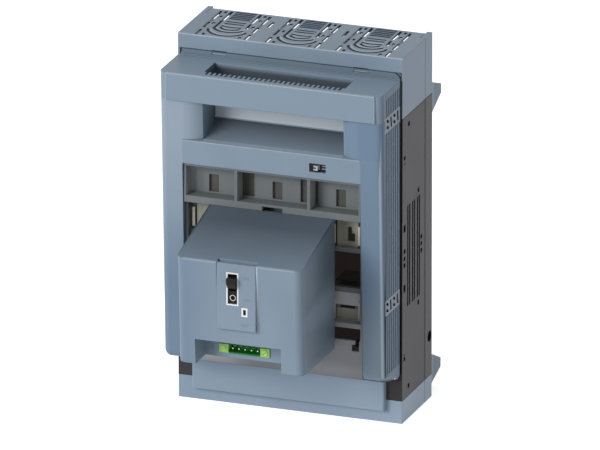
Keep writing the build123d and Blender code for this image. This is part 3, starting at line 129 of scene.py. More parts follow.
class FUSESWITCH_PG_colours(bpy.types.PropertyGroup):
    """Base colours of the mouldings and metals, and colours of painted light and shade on them."""

    blue_grey: colour_property("Blue-grey moulding", "Lid, covers, box and claws", "#8495A5")
    # Painted light on the grip recess's back wall, the bands of the lid's sides, the snap tabs and the grip
    # bar's ends; also the bars of the slider's sign
    painted_light_and_sign_blue: colour_property("Lit blue-grey", "Lit strip in the grip recess, side bands", "#BCC5CD")
    # Painted light on the upper part of the left column
    painted_light_blue: colour_property("Pale blue-grey", "Upper part of the left column", "#94A2B1")
    # Painted shade over the slatted fields of the roof
    slat_shade: colour_property("Louvres", "Louvre fields of the roof", "#5F7085")
    # Painted shade on the right column, the lid's sides, the round of its right front corner, the lower left
    # column and the left of the box front
    painted_shade_blue: colour_property("Cool blue-grey", "Right column and lid sides", "#6F849B")
    edge_light: colour_property("Lit edges", "Edges that catch the light", "#CBD7E2")
    # Painted light: the bottom cover lighter than the other mouldings, and more so towards its right end
    painted_light_foot: colour_property("Blue-grey foot", "Bottom cover", "#8FA0B1")
    painted_light_foot_end: colour_property("Paler foot", "Right end of the bottom cover", "#A3B4C5")
    blue_side: colour_property("Lit side", "Side faces of the covers", "#98ABBE")
    foot_side: colour_property("Lit side of the foot", "Side faces of the bottom cover", "#B6C8DB")
    blue_dark: colour_property("Shaded blue-grey", "Depth of the grip recess, masking frame", "#4C5964")
    panel: colour_property("Breaker panel", "Front panel of the breaker", "#8796A6")
    thermoset: colour_property("Dark thermoset", "Base and adapter", "#615F64")
    thermoset_front: colour_property("Shaded thermoset", "Front face of the base", "#3C3B3E")
    well_glow: colour_property("Light in the wells", "Faint light inside the fuse wells", "#39312F")
    # Painted shade inside holes, slits, grooves and gaps; also the dark lines of the seams
    hole_shade_and_seam: colour_property("Depth of holes", "Inside small holes and along seams", "#161617")
    insert: colour_property("Grey insert", "Carrier insert in the lid window", "#707678")
    insert_light: colour_property("Light insert", "Apron of the carrier insert", "#96979C")
    # Painted light on the bay walls and on the plate over the lower grips
    painted_light_insert: colour_property("Pale insert", "Bay walls and plate over the lower grips", "#C9CACE")
    # Painted shade over the fan arcs and the straight slots of the roof
    fan_arc_shade: colour_property("Fan arcs", "Arcs of the fans in the roof", "#39455A")
    thermoset_warm: colour_property("Warm thermoset", "Sides of the rear slice", "#6E6B68")
    pane: colour_property("Smoked pane", "Pane behind the bays", "#53524F")
    black: colour_property("Black moulding", "Rocker and small black parts", "#1C1A19")
    white: colour_property("White rims", "Rims round rocker and test windows", "#EEF2F2")
    leaf_green: colour_property("Light green", "Screw flanges of the header", "#9BCF73")
    bush_green: colour_property("Yellow-green", "Screw bushes of the header", "#BCDD84")
    dark_green: colour_property("Dark green", "Body of the header", "#1E7A2B")
    silver: colour_property("Silvered copper", "Contacts and busbar links", "#D8D4CC")
    zinc: colour_property("Zinc plating", "Screws, bolts and nuts", "#C4C6C8")
    spring: colour_property("Spring steel", "Spring bands of the jaws", "#B9B8B4")
    cream_face: colour_property("Silvered faces", "Plates beside the fuse grips", "#A9A697")
    cream: colour_property("Silvered grips", "Fuse grips in the lid", "#DAD5C8")
    brass: colour_property("Tinned brass", "Header pins and rocker axle", "#CFCBBE")
    board: colour_property("Board laminate", "Circuit board", "#2E6B3A")
    groove: colour_property("Groove shade", "Floor of the fan grooves, shade of the box", "#14181D")
    ink: colour_property("Ink", "Printed words on the panel", "#6F7F8E")


class FUSESWITCH_PG_stage(bpy.types.PropertyGroup):
    """Light, floor and camera."""

    key_power: bpy.props.FloatProperty(
        name="Key power", description="Power of the large light at the front left", default=136.0, min=0.0,
        unit="POWER",
    )
    top_power: bpy.props.FloatProperty(
        name="Top power", description="Power of the soft light above", default=4.0, min=0.0, unit="POWER"
    )
    ambient: bpy.props.FloatProperty(
        name="Ambient", description="Level of the even light from all round", default=0.32, min=0.0, max=2.0
    )
    azimuth: bpy.props.FloatProperty(
        name="Azimuth", description="Turn of the camera to the right of the front", unit="ROTATION",
        default=math.radians(20.07),
    )
    elevation: bpy.props.FloatProperty(
        name="Elevation", description="Height angle of the camera", unit="ROTATION",
        default=math.radians(19.45),
    )
    distance: length_property("Distance", "From the camera to the aim point", 15700.0)
    picture_width: length_property("Picture width", "Width that the picture spans at the aim point", 462.4)


# Materials


def add_node(tree, kind, settings=None, links=None):
    """Adds one shader node; settings are attributes or input values, links are input name to output."""
    node = tree.nodes.new(kind)
    for key, value in (settings or {}).items():
        if isinstance(key, str) and hasattr(node, key):
            setattr(node, key, value)
        else:
            node.inputs[key].default_value = value
    for key, output in (links or {}).items():
        tree.links.new(output, node.inputs[key])
    return node


def empty_material(name):
    """A material with no nodes but its output."""
    material = bpy.data.materials.new(name)
    material.use_nodes = True
    tree = material.node_tree
    tree.nodes.clear()
    output = add_node(tree, "ShaderNodeOutputMaterial")
    return material, tree, output


def noise(tree, place, size_mm, detail=2.0, stretch=None):
    """Noise whose blobs are about size_mm across, drawn out along an axis by stretch."""
    vector = place
    if stretch:
        vector = add_node(tree, "ShaderNodeMapping", {"Scale": stretch}, {"Vector": place}).outputs["Vector"]
    made = add_node(
        tree, "ShaderNodeTexNoise", {"Scale": 1000.0 / size_mm, "Detail": detail}, {"Vector": vector}
    )
    return made.outputs["Fac"]


def span(tree, value, low, high, to_low, to_high):
    """Maps value from low..high to to_low..to_high, held at the ends."""
    made = add_node(
        tree, "ShaderNodeMapRange",
        {"From Min": low, "From Max": high, "To Min": to_low, "To Max": to_high}, {"Value": value},
    )
    return made.outputs["Result"]


def rounded_edges(tree, radius_mm):
    """Normals that look as if every edge had a small round, as moulds leave them."""
    return add_node(tree, "ShaderNodeBevel", {"samples": 4, "Radius": radius_mm * MM}).outputs["Normal"]


def operate(tree, kind, operation, *values):
    """First output of a Math or VectorMath node; each value is a number, a vector or a node's output."""
    node = add_node(tree, kind, {"operation": operation})
    for socket, value in zip(node.inputs, values):
        if isinstance(value, bpy.types.NodeSocket):
            tree.links.new(value, socket)
        else:
            socket.default_value = value
    return node.outputs[0]


def maths(tree, operation, *values):
    """Result of an operation on numbers."""
    return operate(tree, "ShaderNodeMath", operation, *values)


def vector_maths(tree, operation, *values):
    """Result of an operation on vectors."""
    return operate(tree, "ShaderNodeVectorMath", operation, *values)


def colour_mix(tree, share, under, over):
    """The colour under, covered by the colour over as far as share goes."""
    # Sockets of a Mix node in colour mode
    factor, first, second, result = 0, 6, 7, 2
    links = {factor: share, first: under}
    return add_node(tree, "ShaderNodeMix", {"data_type": "RGBA", second: over}, links).outputs[result]


def zone(low, high, colour, strength=1.0, soft=SHARP, facing=None, each_pole=False):
    """A box, low to high corner in millimetres from the base's front plane, that takes another colour.

    soft is how far inside each pair of faces the change of colour spreads. A zone with facing keeps to
    faces that look along that axis, and one at each_pole is measured sideways from every pole's middle.
    """
    offset = np.array([0.0, BASE_FRONT / MM, 0.0])
    return {
        "low": (np.array(low) + offset) * MM, "high": (np.array(high) + offset) * MM,
        "colour": tuple(colour), "strength": strength, "soft": np.array(soft) * MM, "facing": facing,
        "each_pole": each_pole, "ring": None,
    }


def cad_point(x, depth, height):
    """Point in metres from millimetres right, behind the base's front plane and up."""
    return Vector((x * MM, depth * MM + BASE_FRONT, height * MM))


def ring_zone(low, high, centre, radii, flat, colour, strength=1.0, each_pole=False):
    """The part of a zone between two radii about an axis through centre; flat is 0 along that axis."""
    area = zone(low, high, colour, strength, each_pole=each_pole)
    area["ring"] = (cad_point(*centre), *radii, flat)
    return area


def mirrored(low, high, colour, strength=1.0, soft=SHARP):
    """The same zone on the left and on the right side."""
    left_low, left_high = (-high[0], *low[1:]), (-low[0], *high[1:])
    return [zone(low, high, colour, strength, soft), zone(left_low, left_high, colour, strength, soft)]


def side_zones(depths, heights, colour, strength=1.0, soft=SHARP):
    """A zone on both outer side faces, between two depths and two heights."""
    low, high = (SIDE_IN, depths[0], heights[0]), (SIDE_OUT, depths[1], heights[1])
    return mirrored(low, high, colour, strength, soft)


def pole_place(tree, place):
    """The place with its X measured from the middle of the nearest pole."""
    parts = add_node(tree, "ShaderNodeSeparateXYZ", links={"Vector": place}).outputs
    half_pitch = POLES[2] * MM / 2
    across = maths(tree, "WRAP", parts["X"], half_pitch, -half_pitch)
    links = {"X": across, "Y": parts["Y"], "Z": parts["Z"]}
    return add_node(tree, "ShaderNodeCombineXYZ", links=links).outputs["Vector"]


def facing_mask(tree, axis):
    """1 on faces that look along the axis, 0 on those turned more than some 70 degrees away from it."""
    normal = add_node(tree, "ShaderNodeTexCoord").outputs["Normal"]
    share = add_node(tree, "ShaderNodeSeparateXYZ", links={"Vector": normal}).outputs[axis]
    return span(tree, share, 0.3, 0.6, 0.0, 1.0)


def ring_mask(tree, place, centre, inner, outer, flat):
    """1 between two radii, in millimetres, about an axis through centre; flat is 0 along that axis."""
    edge = 0.1
    across = vector_maths(tree, "MULTIPLY", vector_maths(tree, "SUBTRACT", place, centre), flat)
    radius = add_node(tree, "ShaderNodeVectorMath", {"operation": "LENGTH"}, {0: across}).outputs["Value"]
    out_in = span(tree, radius, inner * MM, (inner + edge) * MM, 0.0, 1.0)
    in_out = span(tree, radius, (outer - edge) * MM, outer * MM, 1.0, 0.0)
    return maths(tree, "MULTIPLY", out_in, in_out)


def zone_mask(tree, place, area):
    """The zone's strength well inside it and 0 outside.

    The share is the most over the axes of (|p - centre| - half) / soft, which is -1 where the zone is
    full and 0 at its faces.
    """
    if area["each_pole"]:
        place = pole_place(tree, place)
    centre = (area["low"] + area["high"]) / 2
    half = (area["high"] - area["low"]) / 2
    size = vector_maths(tree, "ABSOLUTE", vector_maths(tree, "SUBTRACT", place, centre))
    share = vector_maths(tree, "DIVIDE", vector_maths(tree, "SUBTRACT", size, half), area["soft"])
    split = add_node(tree, "ShaderNodeSeparateXYZ", links={"Vector": share}).outputs
    most = maths(tree, "MAXIMUM", maths(tree, "MAXIMUM", split["X"], split["Y"]), split["Z"])
    mask = span(tree, most, -1.0, 0.0, area["strength"], 0.0)
    if area["ring"]:
        mask = maths(tree, "MULTIPLY", mask, ring_mask(tree, place, *area["ring"]))
    if area["facing"]:
        mask = maths(tree, "MULTIPLY", mask, facing_mask(tree, area["facing"]))
    return mask


def moulding(
    name, colour, roughness=0.42, grain_mm=0.55, grain_depth=0.02, round_mm=0.8, tone=0.05, zones=(),
    glow=None,
):
    """Injection moulding: spark-eroded grain, slow tone changes over the surface, soft edge rounds.

    Each of zones recolours a box, over those before it. glow is (zone, strength): a faint light of its
    own that stands in for light from many small openings.
    """
    material, tree, output = empty_material(name)
    place = add_node(tree, "ShaderNodeTexCoord").outputs["Object"]
    masks = [(zone_mask(tree, place, area), area["colour"]) for area in zones]
    slow = noise(tree, place, 60.0, 1.0)
    tone_value = span(tree, slow, 0.35, 0.65, 1.0 - tone, 1.0 + tone)
    base = add_node(
        tree, "ShaderNodeHueSaturation", {"Color": tuple(colour)}, {"Value": tone_value}
    ).outputs["Color"]
    for mask, other in masks:
        base = colour_mix(tree, mask, base, other)
    grain = noise(tree, place, grain_mm, 3.0)
    bump = add_node(
        tree, "ShaderNodeBump", {"Strength": 0.35, "Distance": grain_depth * MM},
        {"Height": grain, "Normal": rounded_edges(tree, round_mm)},
    )
    rough = span(tree, grain, 0.3, 0.7, roughness - 0.05, roughness + 0.05)
    surface = add_node(
        tree, "ShaderNodeBsdfPrincipled", {"IOR": 1.5, "Specular IOR Level": MOULDING_SHINE},
        {"Base Color": base, "Roughness": rough, "Normal": bump.outputs["Normal"]},
    )
    if glow:
        area, strength = glow
        surface.inputs["Emission Color"].default_value = area["colour"]
        level = maths(tree, "MULTIPLY", zone_mask(tree, place, area), strength)
        tree.links.new(level, surface.inputs["Emission Strength"])
    tree.links.new(surface.outputs["BSDF"], output.inputs["Surface"])
    return material


def metal(name, colour, roughness=0.3, line_mm=0.4, stretch=(1.0, 1.0, 0.05), tarnish=0.12, round_mm=0.2):
    """Plated or rolled metal: fine lines along the rolling direction and a thin uneven tarnish."""
    material, tree, output = empty_material(name)
    place = add_node(tree, "ShaderNodeTexCoord").outputs["Object"]
    lines = noise(tree, place, line_mm, 2.0, stretch)
    patches = noise(tree, place, 9.0, 3.0)
    value = span(tree, patches, 0.35, 0.7, 1.0, 1.0 - tarnish)
    base = add_node(
        tree, "ShaderNodeHueSaturation", {"Color": tuple(colour)}, {"Value": value}
    ).outputs["Color"]
    rough = span(tree, patches, 0.3, 0.7, roughness - 0.06, roughness + 0.08)
    bump = add_node(
        tree, "ShaderNodeBump", {"Strength": 0.3, "Distance": 0.01 * MM},
        {"Height": lines, "Normal": rounded_edges(tree, round_mm)},
    )
    surface = add_node(
        tree, "ShaderNodeBsdfPrincipled", {"Metallic": 1.0},
        {"Base Color": base, "Roughness": rough, "Normal": bump.outputs["Normal"]},
    )
    tree.links.new(surface.outputs["BSDF"], output.inputs["Surface"])
    return material


def paint(material, *names):
    """Gives the CAD nodes that material in every slot."""
    for name in names:
        mesh = frame["nodes"][name].data
        if not mesh.materials:
            mesh.materials.append(material)
        for index in range(len(mesh.materials)):
            mesh.materials[index] = material


def by_slot(slot):
    """Names of the CAD nodes that the record gives this material slot."""
    return [part["node"] for part in frame["record"]["subparts"] if part["material_slot"] == slot]


def seam_zones(colours):
    """Dark line where the rear slice meets the rest, seen from the sides."""
    depths = (SPLIT - 1.2, SPLIT + 1.4)
    return side_zones(depths, ALL_HEIGHTS, colours.hole_shade_and_seam, 0.3, (0.05, 0.6, 0.05))


def side_marks(colours):
    """Painted shade in the openings, and dark lines of the seams, on the side walls of the base, painted a
    little wider than they are.
    """
    dark = colours.hole_shade_and_seam
    # The rear slice has a warmer tone
    areas = side_zones((SPLIT, REAR), (15, 252), colours.thermoset_warm, 0.6)
    # Painted shade in three pairs of slots
    half_width, half_height = 1.6, 41.4
    for i in range(3):
        for turn in (-1, 1):
            middle = VENT_FIRST + VENT_PITCH * i + turn * VENT_SPACING / 2
            depths = (middle - half_width, middle + half_width)
            heights = (SIDE_MIDDLE - half_height, SIDE_MIDDLE + half_height)
            areas += side_zones(depths, heights, dark, 0.85)
    # Painted shade in small openings: depth, distances from the middle height, half width and half height
    openings = (
        (5.0, (-24.5, 24.5), 2.5, 3.2), (5.0, (-5.7, 5.7), 2.3, 2.0), (43.2, (-5.7, 5.7), 2.2, 1.9),
        (14.5, (-107.0, 107.0), 2.4, 2.1), (36.5, (-46.0, 46.0), 2.3, 2.0),
        (5.0, (-83.0, -79.0, 77.0, 82.0), 2.0, 1.0),
    )
    for depth, shifts, half_width, half_height in openings:
        for shift in shifts:
            height = SIDE_MIDDLE + shift
            depths = (depth - half_width, depth + half_width)
            areas += side_zones(depths, (height - half_height, height + half_height), dark)
    # Seams along the rear slice, over the bottom cover and under the top cover
    areas += side_zones((SPLIT - 1.7, SPLIT + 1.7), ALL_HEIGHTS, dark, 0.95, (0.05, 0.2, 0.05))
    for foot in (BOTTOM_COVER_TOP - 0.5, TOP_COVER_FOOT - 1.4):
        areas += side_zones((0, REAR), (foot, foot + 1.6), dark, 0.6, (0.05, 0.05, 0.2))
    return areas


def fan_zones(colours):
    """Painted shade in bold arcs over the fan grooves, and painted light in strips beside them, about each
    pole on the roof.
    """
    low, high = ROOF - 0.11, ROOF + 0.2
    arc_half, strip = 1.5, 1.8
    upright = (1.0, 1.0, 0.0)
    areas = []
    for radius, lowest, reach in zip(FAN_RADII, FAN_LOWS, FAN_REACHES):
        inner, outer = radius - arc_half, radius + arc_half
        for radii, colour, strength in (
            ((inner, outer), colours.fan_arc_shade, 0.8), ((inner - strip, inner), colours.edge_light, 0.4),
        ):
            areas.append(ring_zone(
                (-reach, lowest - 3, low), (reach, lowest + 0.8 * radius, high),
                (0.0, lowest + radius, 0.0), radii, upright, colour, strength, each_pole=True,
            ))
    # Painted shade over straight slots along the sides of the fans, as middle, start and end, and two across
    # them
    for x, start, end in ((-12.0, 18.5, 46.0), (12.0, 31.0, 37.0), (-20.2, 31.6, 39.4), (20.2, 31.6, 39.4)):
        corners = (x - 1.3, start, low), (x + 1.3, end, high)
        areas.append(zone(*corners, colours.fan_arc_shade, 0.7, each_pole=True))
    for depth in (32.3, 37.0):
        corners = (-8.2, depth - 1.4, low), (8.2, depth + 1.4, high)
        areas.append(zone(*corners, colours.fan_arc_shade, 0.6, each_pole=True))
    return areas


def roof_zones(colours):
    """Painted light and shade on the snaps, grooves and slatted fields of the top cover, and its seams."""
    top = MASK_TOP
    areas = []
    # Painted shade in the dash over each snap, and a faint painted highlight on the tab under it
    for x in SNAPS:
        areas.append(zone((x - 6.0, 0.1, top - 0.4), (x + 6.0, 2.6, top + 1.4), colours.hole_shade_and_seam))
        areas.append(zone((x - 5.7, 0.1, top - 2.8), (x + 5.7, 1.9, top - 0.6), colours.painted_light_and_sign_blue, 0.15))
    return [
        *areas,
        # Lit front edge of the roof
        zone((-92.5, -0.3, ROOF - 0.9), (92.5, 0.4, ROOF + 0.3), colours.edge_light, 0.45),
        # Dark seam over the masking frame, and painted shade in the gap beside it on the right
        zone((-90.2, -0.3, top + 0.1), (90.2, 0.3, top + 0.9), colours.hole_shade_and_seam, 0.7),
        zone((89.2, -0.3, TOP_COVER_FOOT - 1), (91.4, 0.3, top + 0.9), colours.hole_shade_and_seam, 0.9),
        # Painted shade on the floors of the grooves and over the slatted fields
        zone((-91, 1.0, ROOF - 0.9), (91, 66, ROOF - 0.12), colours.groove),
        zone((-8.6, 42.5, ROOF - 0.2), (8.6, 62.2, ROOF + 1), colours.slat_shade, each_pole=True),
        *fan_zones(colours),
    ]


def frame_zones(colours):
    """Shade on the masking frame over the lid and beside it."""
    return [
        zone((-WIDE, -3, LID_TOP - 0.2), (WIDE, 3, MASK_TOP + 1.4), colours.blue_dark, 0.45),
        *mirrored((88.6, -6, 20), (93, 5, 246), colours.hole_shade_and_seam, 0.9),
    ]


def column_zones(colours):
    """Painted shade on the right column; on the left one, painted light above that turns to painted shade
    below.
    """
    # cool carries the painted shade and pale the painted light
    cool, pale = colours.painted_shade_blue, colours.painted_light_blue
    inner = COLUMN_INNER - 0.2
    recess, foot, top = RECESS_HALF + 0.1, LOWER_BAR_TOP + 0.3, GRIP_BAR_FOOT - 0.4
    return [
        zone((recess, AHEAD, foot), (WIDE, -33, top), cool, 0.85, (3.0, 0.1, 0.2)),
        zone((inner, AHEAD, 75), (WIDE, -33, 379), cool, 0.85, (0.3, 0.1, 50.0)),
        zone((-WIDE, AHEAD, foot), (-recess, -30, top), pale, 0.9, (0.5, 0.1, 0.2)),
        zone((-WIDE, AHEAD, 150), (-inner, -30, 304), pale, 0.9, (0.3, 0.1, 70.0)),
        zone((-WIDE, AHEAD, -60), (-inner, -30, 165), cool, 0.75, (0.3, 0.1, 60.0)),
        # The grip bar and the top keep the plain colour
        zone((-WIDE, AHEAD, GRIP_BAR_FOOT - 0.3), (WIDE, 0, LID_TOP + 4), colours.blue_grey),
    ]


def recess_zones(colours):
    """Painted light and shade on the faces of the hand recess behind the grip bar, and painted shade on the
    finger scoops under it.
    """
    dark, hole_shade_and_seam = colours.blue_dark, colours.hole_shade_and_seam
    half = RECESS_HALF + 0.1
    front, back = RECESS_BACK - 0.6, RECESS_BACK + 0.6
    return [
        # Back wall: painted light under the bar, painted shade behind it
        zone((-half, front, 237.4), (half, back, 263), colours.painted_light_and_sign_blue),
        zone((-half, -40.5, 263), (half, back, 280.7), hole_shade_and_seam, 0.75, (0.1, 0.1, 4.0)),
        # Painted shade on its floor and its side walls, darker towards the back
        zone((-57.3, -38, 224), (57.3, 17, 237.3), hole_shade_and_seam, 0.85, (0.1, 26.0, 0.2)),
        *mirrored((57.0, -38, 226), (58.0, 17, LID_TOP), dark, 0.9, (0.1, 26.0, 0.2)),
        # Painted shade on the floors of the finger scoops
        *mirrored((57.3, -50, 226.5), (73, -28, 227.9), dark, 0.6, (0.1, 0.1, 0.2)),
    ]


def lit_edge_zones(colours):
    """Painted highlights on corners and edges of the lid, and painted shade on the round of its right front
    corner.
    """
    lit = colours.edge_light
    return [
        # Round of the right front corner: painted shade in the tone of the ribs behind it, and a painted
        # highlight line
        zone((89.6, -41.5, 48), (91.2, -30, 282), colours.painted_shade_blue, 0.8, (0.3, 0.1, 0.1)),
        zone((87.2, -42, 48), (90.0, -34, LID_TOP), lit, 0.55, (1.2, 0.1, 0.1)),
        # Painted highlights along the grip bar and the lower bar
        zone((-85, -50, LID_TOP - 0.8), (85, -43.9, LID_TOP + 0.3), lit, 0.35),
        zone((-72.5, -50, LOWER_BAR_TOP - 0.8), (72.5, -36, LOWER_BAR_TOP + 0.2), lit, 0.3),
        # Painted light on the end faces of the grip bar
        *mirrored((85.1, -50, GRIP_BAR_FOOT - 0.2), (85.6, -38, LID_TOP), colours.painted_light_and_sign_blue, 0.8),
    ]


def rib_zones(colours):
    """Painted shade on the ribs of the lid's side walls and in the grooves between them; painted light on
    the bands and along their edges, with painted shade in their vents.
    """
    light, hole_shade_and_seam = colours.painted_light_and_sign_blue, colours.hole_shade_and_seam
    # Painted shade on the rib faces, and deeper painted shade in the grooves between them
    zones = mirrored((RIB_FACE, -36, 30), (92, LID_BACK, LID_TOP + 0.5), colours.painted_shade_blue, 0.85)
    zones += mirrored((89.9, -36, 48), (RIB_FACE - 0.1, -3.0, 280), hole_shade_and_seam, 0.62)
    for foot in BANDS:
        top = foot + BAND_HEIGHT
        # Painted light on each band and along its edges, and painted shade in its vents
        zones += mirrored((RIB_FACE, -36, foot), (92, LID_BACK, top), light, 0.4)
        for edge in (foot, top - 1):
            zones += mirrored((RIB_FACE, -38, edge), (92, LID_BACK, edge + 1.1), light, 0.5)
        zones += mirrored((86.5, -33, foot + 0.5), (RIB_FACE - 0.1, -3.0, top - 0.5), hole_shade_and_seam, 0.85)
    return zones


def lid_zones(colours):
    """Fields of painted light and shade over the lid, in the order in which they cover each other."""
    return [
        *column_zones(colours), *recess_zones(colours), *lit_edge_zones(colours), *rib_zones(colours)
    ]


def box_zones(colours):
    """Painted shade over the monitoring box, and painted highlights on its edges."""
    shade, lit = colours.groove, colours.edge_light
    # Painted shade on the roof, darker towards the lid
    areas = [zone((-60, -147, 150), (60, 55, 190), shade, 0.62, (0.1, 87.0, 0.5), facing="Z")]
    # Painted shade of the lid on the side walls, darkest in two bands
    for foot, top, strength, soft in (
        (116, 190, 0.52, (0.1, 55.0, 18.0)), (70, 106, 0.36, (0.1, 65.0, 14.0)),
        (60, 130, 0.12, (0.1, 65.0, 1.0)),
    ):
        areas += mirrored((50, -116, foot), (60, 24, top), shade, strength, soft)
    return [
        *areas,
        # Painted shade on the front, darker towards the left
        zone((-90, BOX_AHEAD, 60), (-20, -108, BOX_BROW + 0.2), colours.painted_shade_blue, 0.7, (30.0, 0.1, 2.0)),
        # Painted highlights on the edges beside the panel and along the brow
        zone((13.9, BOX_AHEAD, 103), (15.4, -108, 157), lit, 0.6, (0.3, 0.1, 0.1)),
        zone((-47, -118, BOX_BROW - 0.8), (47, -112, BOX_BROW + 0.6), lit, 0.35, (3.0, 0.1, 0.4)),
    ]


def base_zones(colours):
    """Painted shade on the front face and in the side openings of the base, and the marks of its side walls.
    """
    return [
        # Painted shade inside the openings in the side walls and the mounting bores
        *mirrored((87, 0.8, 21), (91.7, 50, 264), colours.hole_shade_and_seam, 0.9),
        *mirrored((80, 56.5, 45), (91.8, 67.2, 57), colours.hole_shade_and_seam, 0.95),
        # Painted shade on the front face, and deeper painted shade in the gap along its right edge
        zone((-93, -0.5, 15), (93, 0.4, 282), colours.thermoset_front),
        zone((88.5, -0.6, 40), (91.6, 0.5, 282), colours.hole_shade_and_seam, 0.9),
        *side_marks(colours),
    ]


def insert_zones(colours):
    """Fields of the carrier insert: the apron, painted light on the bay walls and on the plate over the
    lower grips, and the plates beside the grips with painted shade in their slits and gaps.
    """
    cream, pale, hole_shade_and_seam = colours.cream_face, colours.painted_light_insert, colours.hole_shade_and_seam
    front, back = -30, -26
    # Half widths at each grip: of the gap, and out to the edges of the plates and of the slits beside them
    gap, plate, slit = 5.3, 8.6, 9.8
    upper, ledge = (148.5, 171.0), (104.5, 107.5)
    areas = [
        zone((-73, AHEAD, 40), (73, -8, 100), colours.insert_light, 0.95, (0.1, 0.1, 12.0)),
        # Painted light on the back wall beside the first bay and on the left wall of each bay
        zone((-90, -31, 178), (-62, 0, 214), pale, 0.55, (9.0, 3.0, 3.0)),
        zone((-90, -44, 176), (90, 0, 214), pale, 0.4, facing="X"),
    ]
    for pole in POLES:
        for turn in (-1, 1):
            near, far = sorted((pole + turn * gap, pole + turn * plate))
            slit_near, slit_far = sorted((pole + turn * plate, pole + turn * slit))
            for foot, top in (upper, ledge):
                areas.append(zone((near, front, foot), (far, back, top), cream, 0.9))
                # Painted shade in the slit beside each plate
                areas.append(zone((slit_near, front, foot), (slit_far, back, top), hole_shade_and_seam, 0.8))
        areas.append(zone((pole - 5.4, front, upper[0]), (pole + 5.4, -10, upper[1]), cream, 0.6))
        # Painted light on the plate over the lower grips
        areas.append(zone((pole - 12, front, 102.7), (pole + 12, -12, 118.0), pale, 0.9))
        areas.append(zone((pole - plate, front, 88.0), (pole + plate, back, 100.0), cream, 0.9))
        # Painted shade in the gap under that plate
        areas.append(zone((pole - 6.0, front, 100.4), (pole + 6.0, back, 102.6), hole_shade_and_seam))
    return areas


class FUSESWITCH_OT_mouldings(bpy.types.Operator):
    """Paint the moulded housings, covers, lid and insert, with their painted light and shade"""

    bl_idname = "fuseswitch.mouldings"
    bl_label = "Mouldings"

    def execute(self, context):
        colours = context.scene.fuse_switch_colours
        blue_grey = colours.blue_grey
        whole_side = (-1, REAR)
        lit_sides = side_zones(whole_side, ALL_HEIGHTS, colours.blue_side)
        seam = seam_zones(colours)
        blue = moulding(
            "Blue-grey polycarbonate, fine spark-eroded grain", blue_grey, zones=lit_sides + seam
        )
        paint(blue, *by_slot("blue_grey_moulding"))
        # Painted light on the bottom cover: lighter than the other mouldings, on its sides, and more so
        # towards its right end
        foot = [
            *side_zones(whole_side, (-1, 30), colours.foot_side), *seam,
            zone((-60, -10, -10), (244, 0.5, 40), colours.painted_light_foot_end, 1.0, (150.0, 0.1, 0.1)),
        ]
        cover = moulding("Blue-grey bottom cover", colours.painted_light_foot, zones=foot)
        paint(cover, "bottom_cover", "bottom_rear_cover")
        paint(moulding("Blue-grey masking frame", blue_grey, zones=frame_zones(colours)), "masking_frame")
        roof = lit_sides + seam + roof_zones(colours)
        paint(moulding("Blue-grey polycarbonate with dark grooves", blue_grey, zones=roof), "top_cover")
        lid = moulding("Blue-grey polycarbonate of the lid", blue_grey, zones=lid_zones(colours))
        paint(lid, "lid_frame")
        box = moulding("Blue-grey polycarbonate of the box", blue_grey, zones=box_zones(colours))
        paint(box, "monitor_box")
        lit_edge = zone((PANEL_EDGE - 0.15, BOX_AHEAD, 100), (14, -100, 160), colours.edge_light)
        panel = moulding("Blue-grey panel, satin", colours.panel, roughness=0.38, zones=[lit_edge])
        paint(panel, *by_slot("panel_moulding"))
        # Painted light: a faint glow inside the fuse wells, standing in for light through their openings
        wells = zone((-84, 0.5, 30), (84, 51, 260), colours.well_glow, 1.0, (1.0, 1.0, 1.0))
        thermoset = moulding(
            "Dark glass-filled thermoset, moulded", colours.thermoset, roughness=0.5, grain_mm=0.8,
            grain_depth=0.04, tone=0.08, zones=base_zones(colours), glow=(wells, 0.25),
        )
        paint(thermoset, *by_slot("dark_moulding"))
        insert = moulding(
            "Grey polyamide, moulded", colours.insert, roughness=0.5, grain_mm=0.7,
            zones=insert_zones(colours),
        )
        paint(insert, *by_slot("grey_moulding"))
        paint(moulding("Smoked polycarbonate pane", colours.pane, roughness=0.4), *by_slot("smoked_pane"))
        return {"FINISHED"}


class FUSESWITCH_OT_metals(bpy.types.Operator):
    """Paint contacts, springs, screws and pins"""

    bl_idname = "fuseswitch.metals"
    bl_label = "Metals"

    def execute(self, context):
        colours = context.scene.fuse_switch_colours
        paint(metal("Silver-plated copper, rolled", colours.silver, 0.28), *by_slot("silvered_copper"))
        zinc = metal("Steel, zinc plated", colours.zinc, 0.32, 1.2, (1.0, 1.0, 1.0))
        paint(zinc, *by_slot("zinc_plated_steel"))
        paint(metal("Spring steel, stamped", colours.spring, 0.3, 0.5), *by_slot("spring_steel"))
        grips = moulding("Silver-plated spring sheet, matt", colours.cream, 0.35, 0.3, 0.01, 0.1)
        paint(grips, "upper_fuse_grips", "lower_fuse_grips")
        paint(metal("Brass, tinned", colours.brass, 0.26, 0.6), *by_slot("tinned_brass"))
        return {"FINISHED"}


def slider_zones(colours):
    """White bars of the sign on the lock slider, an open square and two strokes beside it."""
    bars = (
        (34.4, 38.6, 214.4, 215.8, 0.8), (34.4, 38.6, 216.9, 218.2, 0.8), (36.6, 38.6, 214.4, 218.2, 1.0),
        (40.6, 43.8, 215.0, 215.8, 0.6), (40.6, 43.8, 217.3, 218.0, 0.6),
    )
    return [
        zone((left, AHEAD, low), (right, -20, high), colours.painted_light_and_sign_blue, strength)
        for left, right, low, high, strength in bars
    ]


def flange_zones(colours):
    """Light screw flanges at both ends of the header."""
    x, height = HEADER
    half = 4.0
    areas = []
    for middle in (x - FLANGE_OFFSET, x + FLANGE_OFFSET):
        corners = (middle - half, -100, height - half), (middle + half, -60, height + half)
        areas.append(zone(*corners, colours.leaf_green))
    return areas


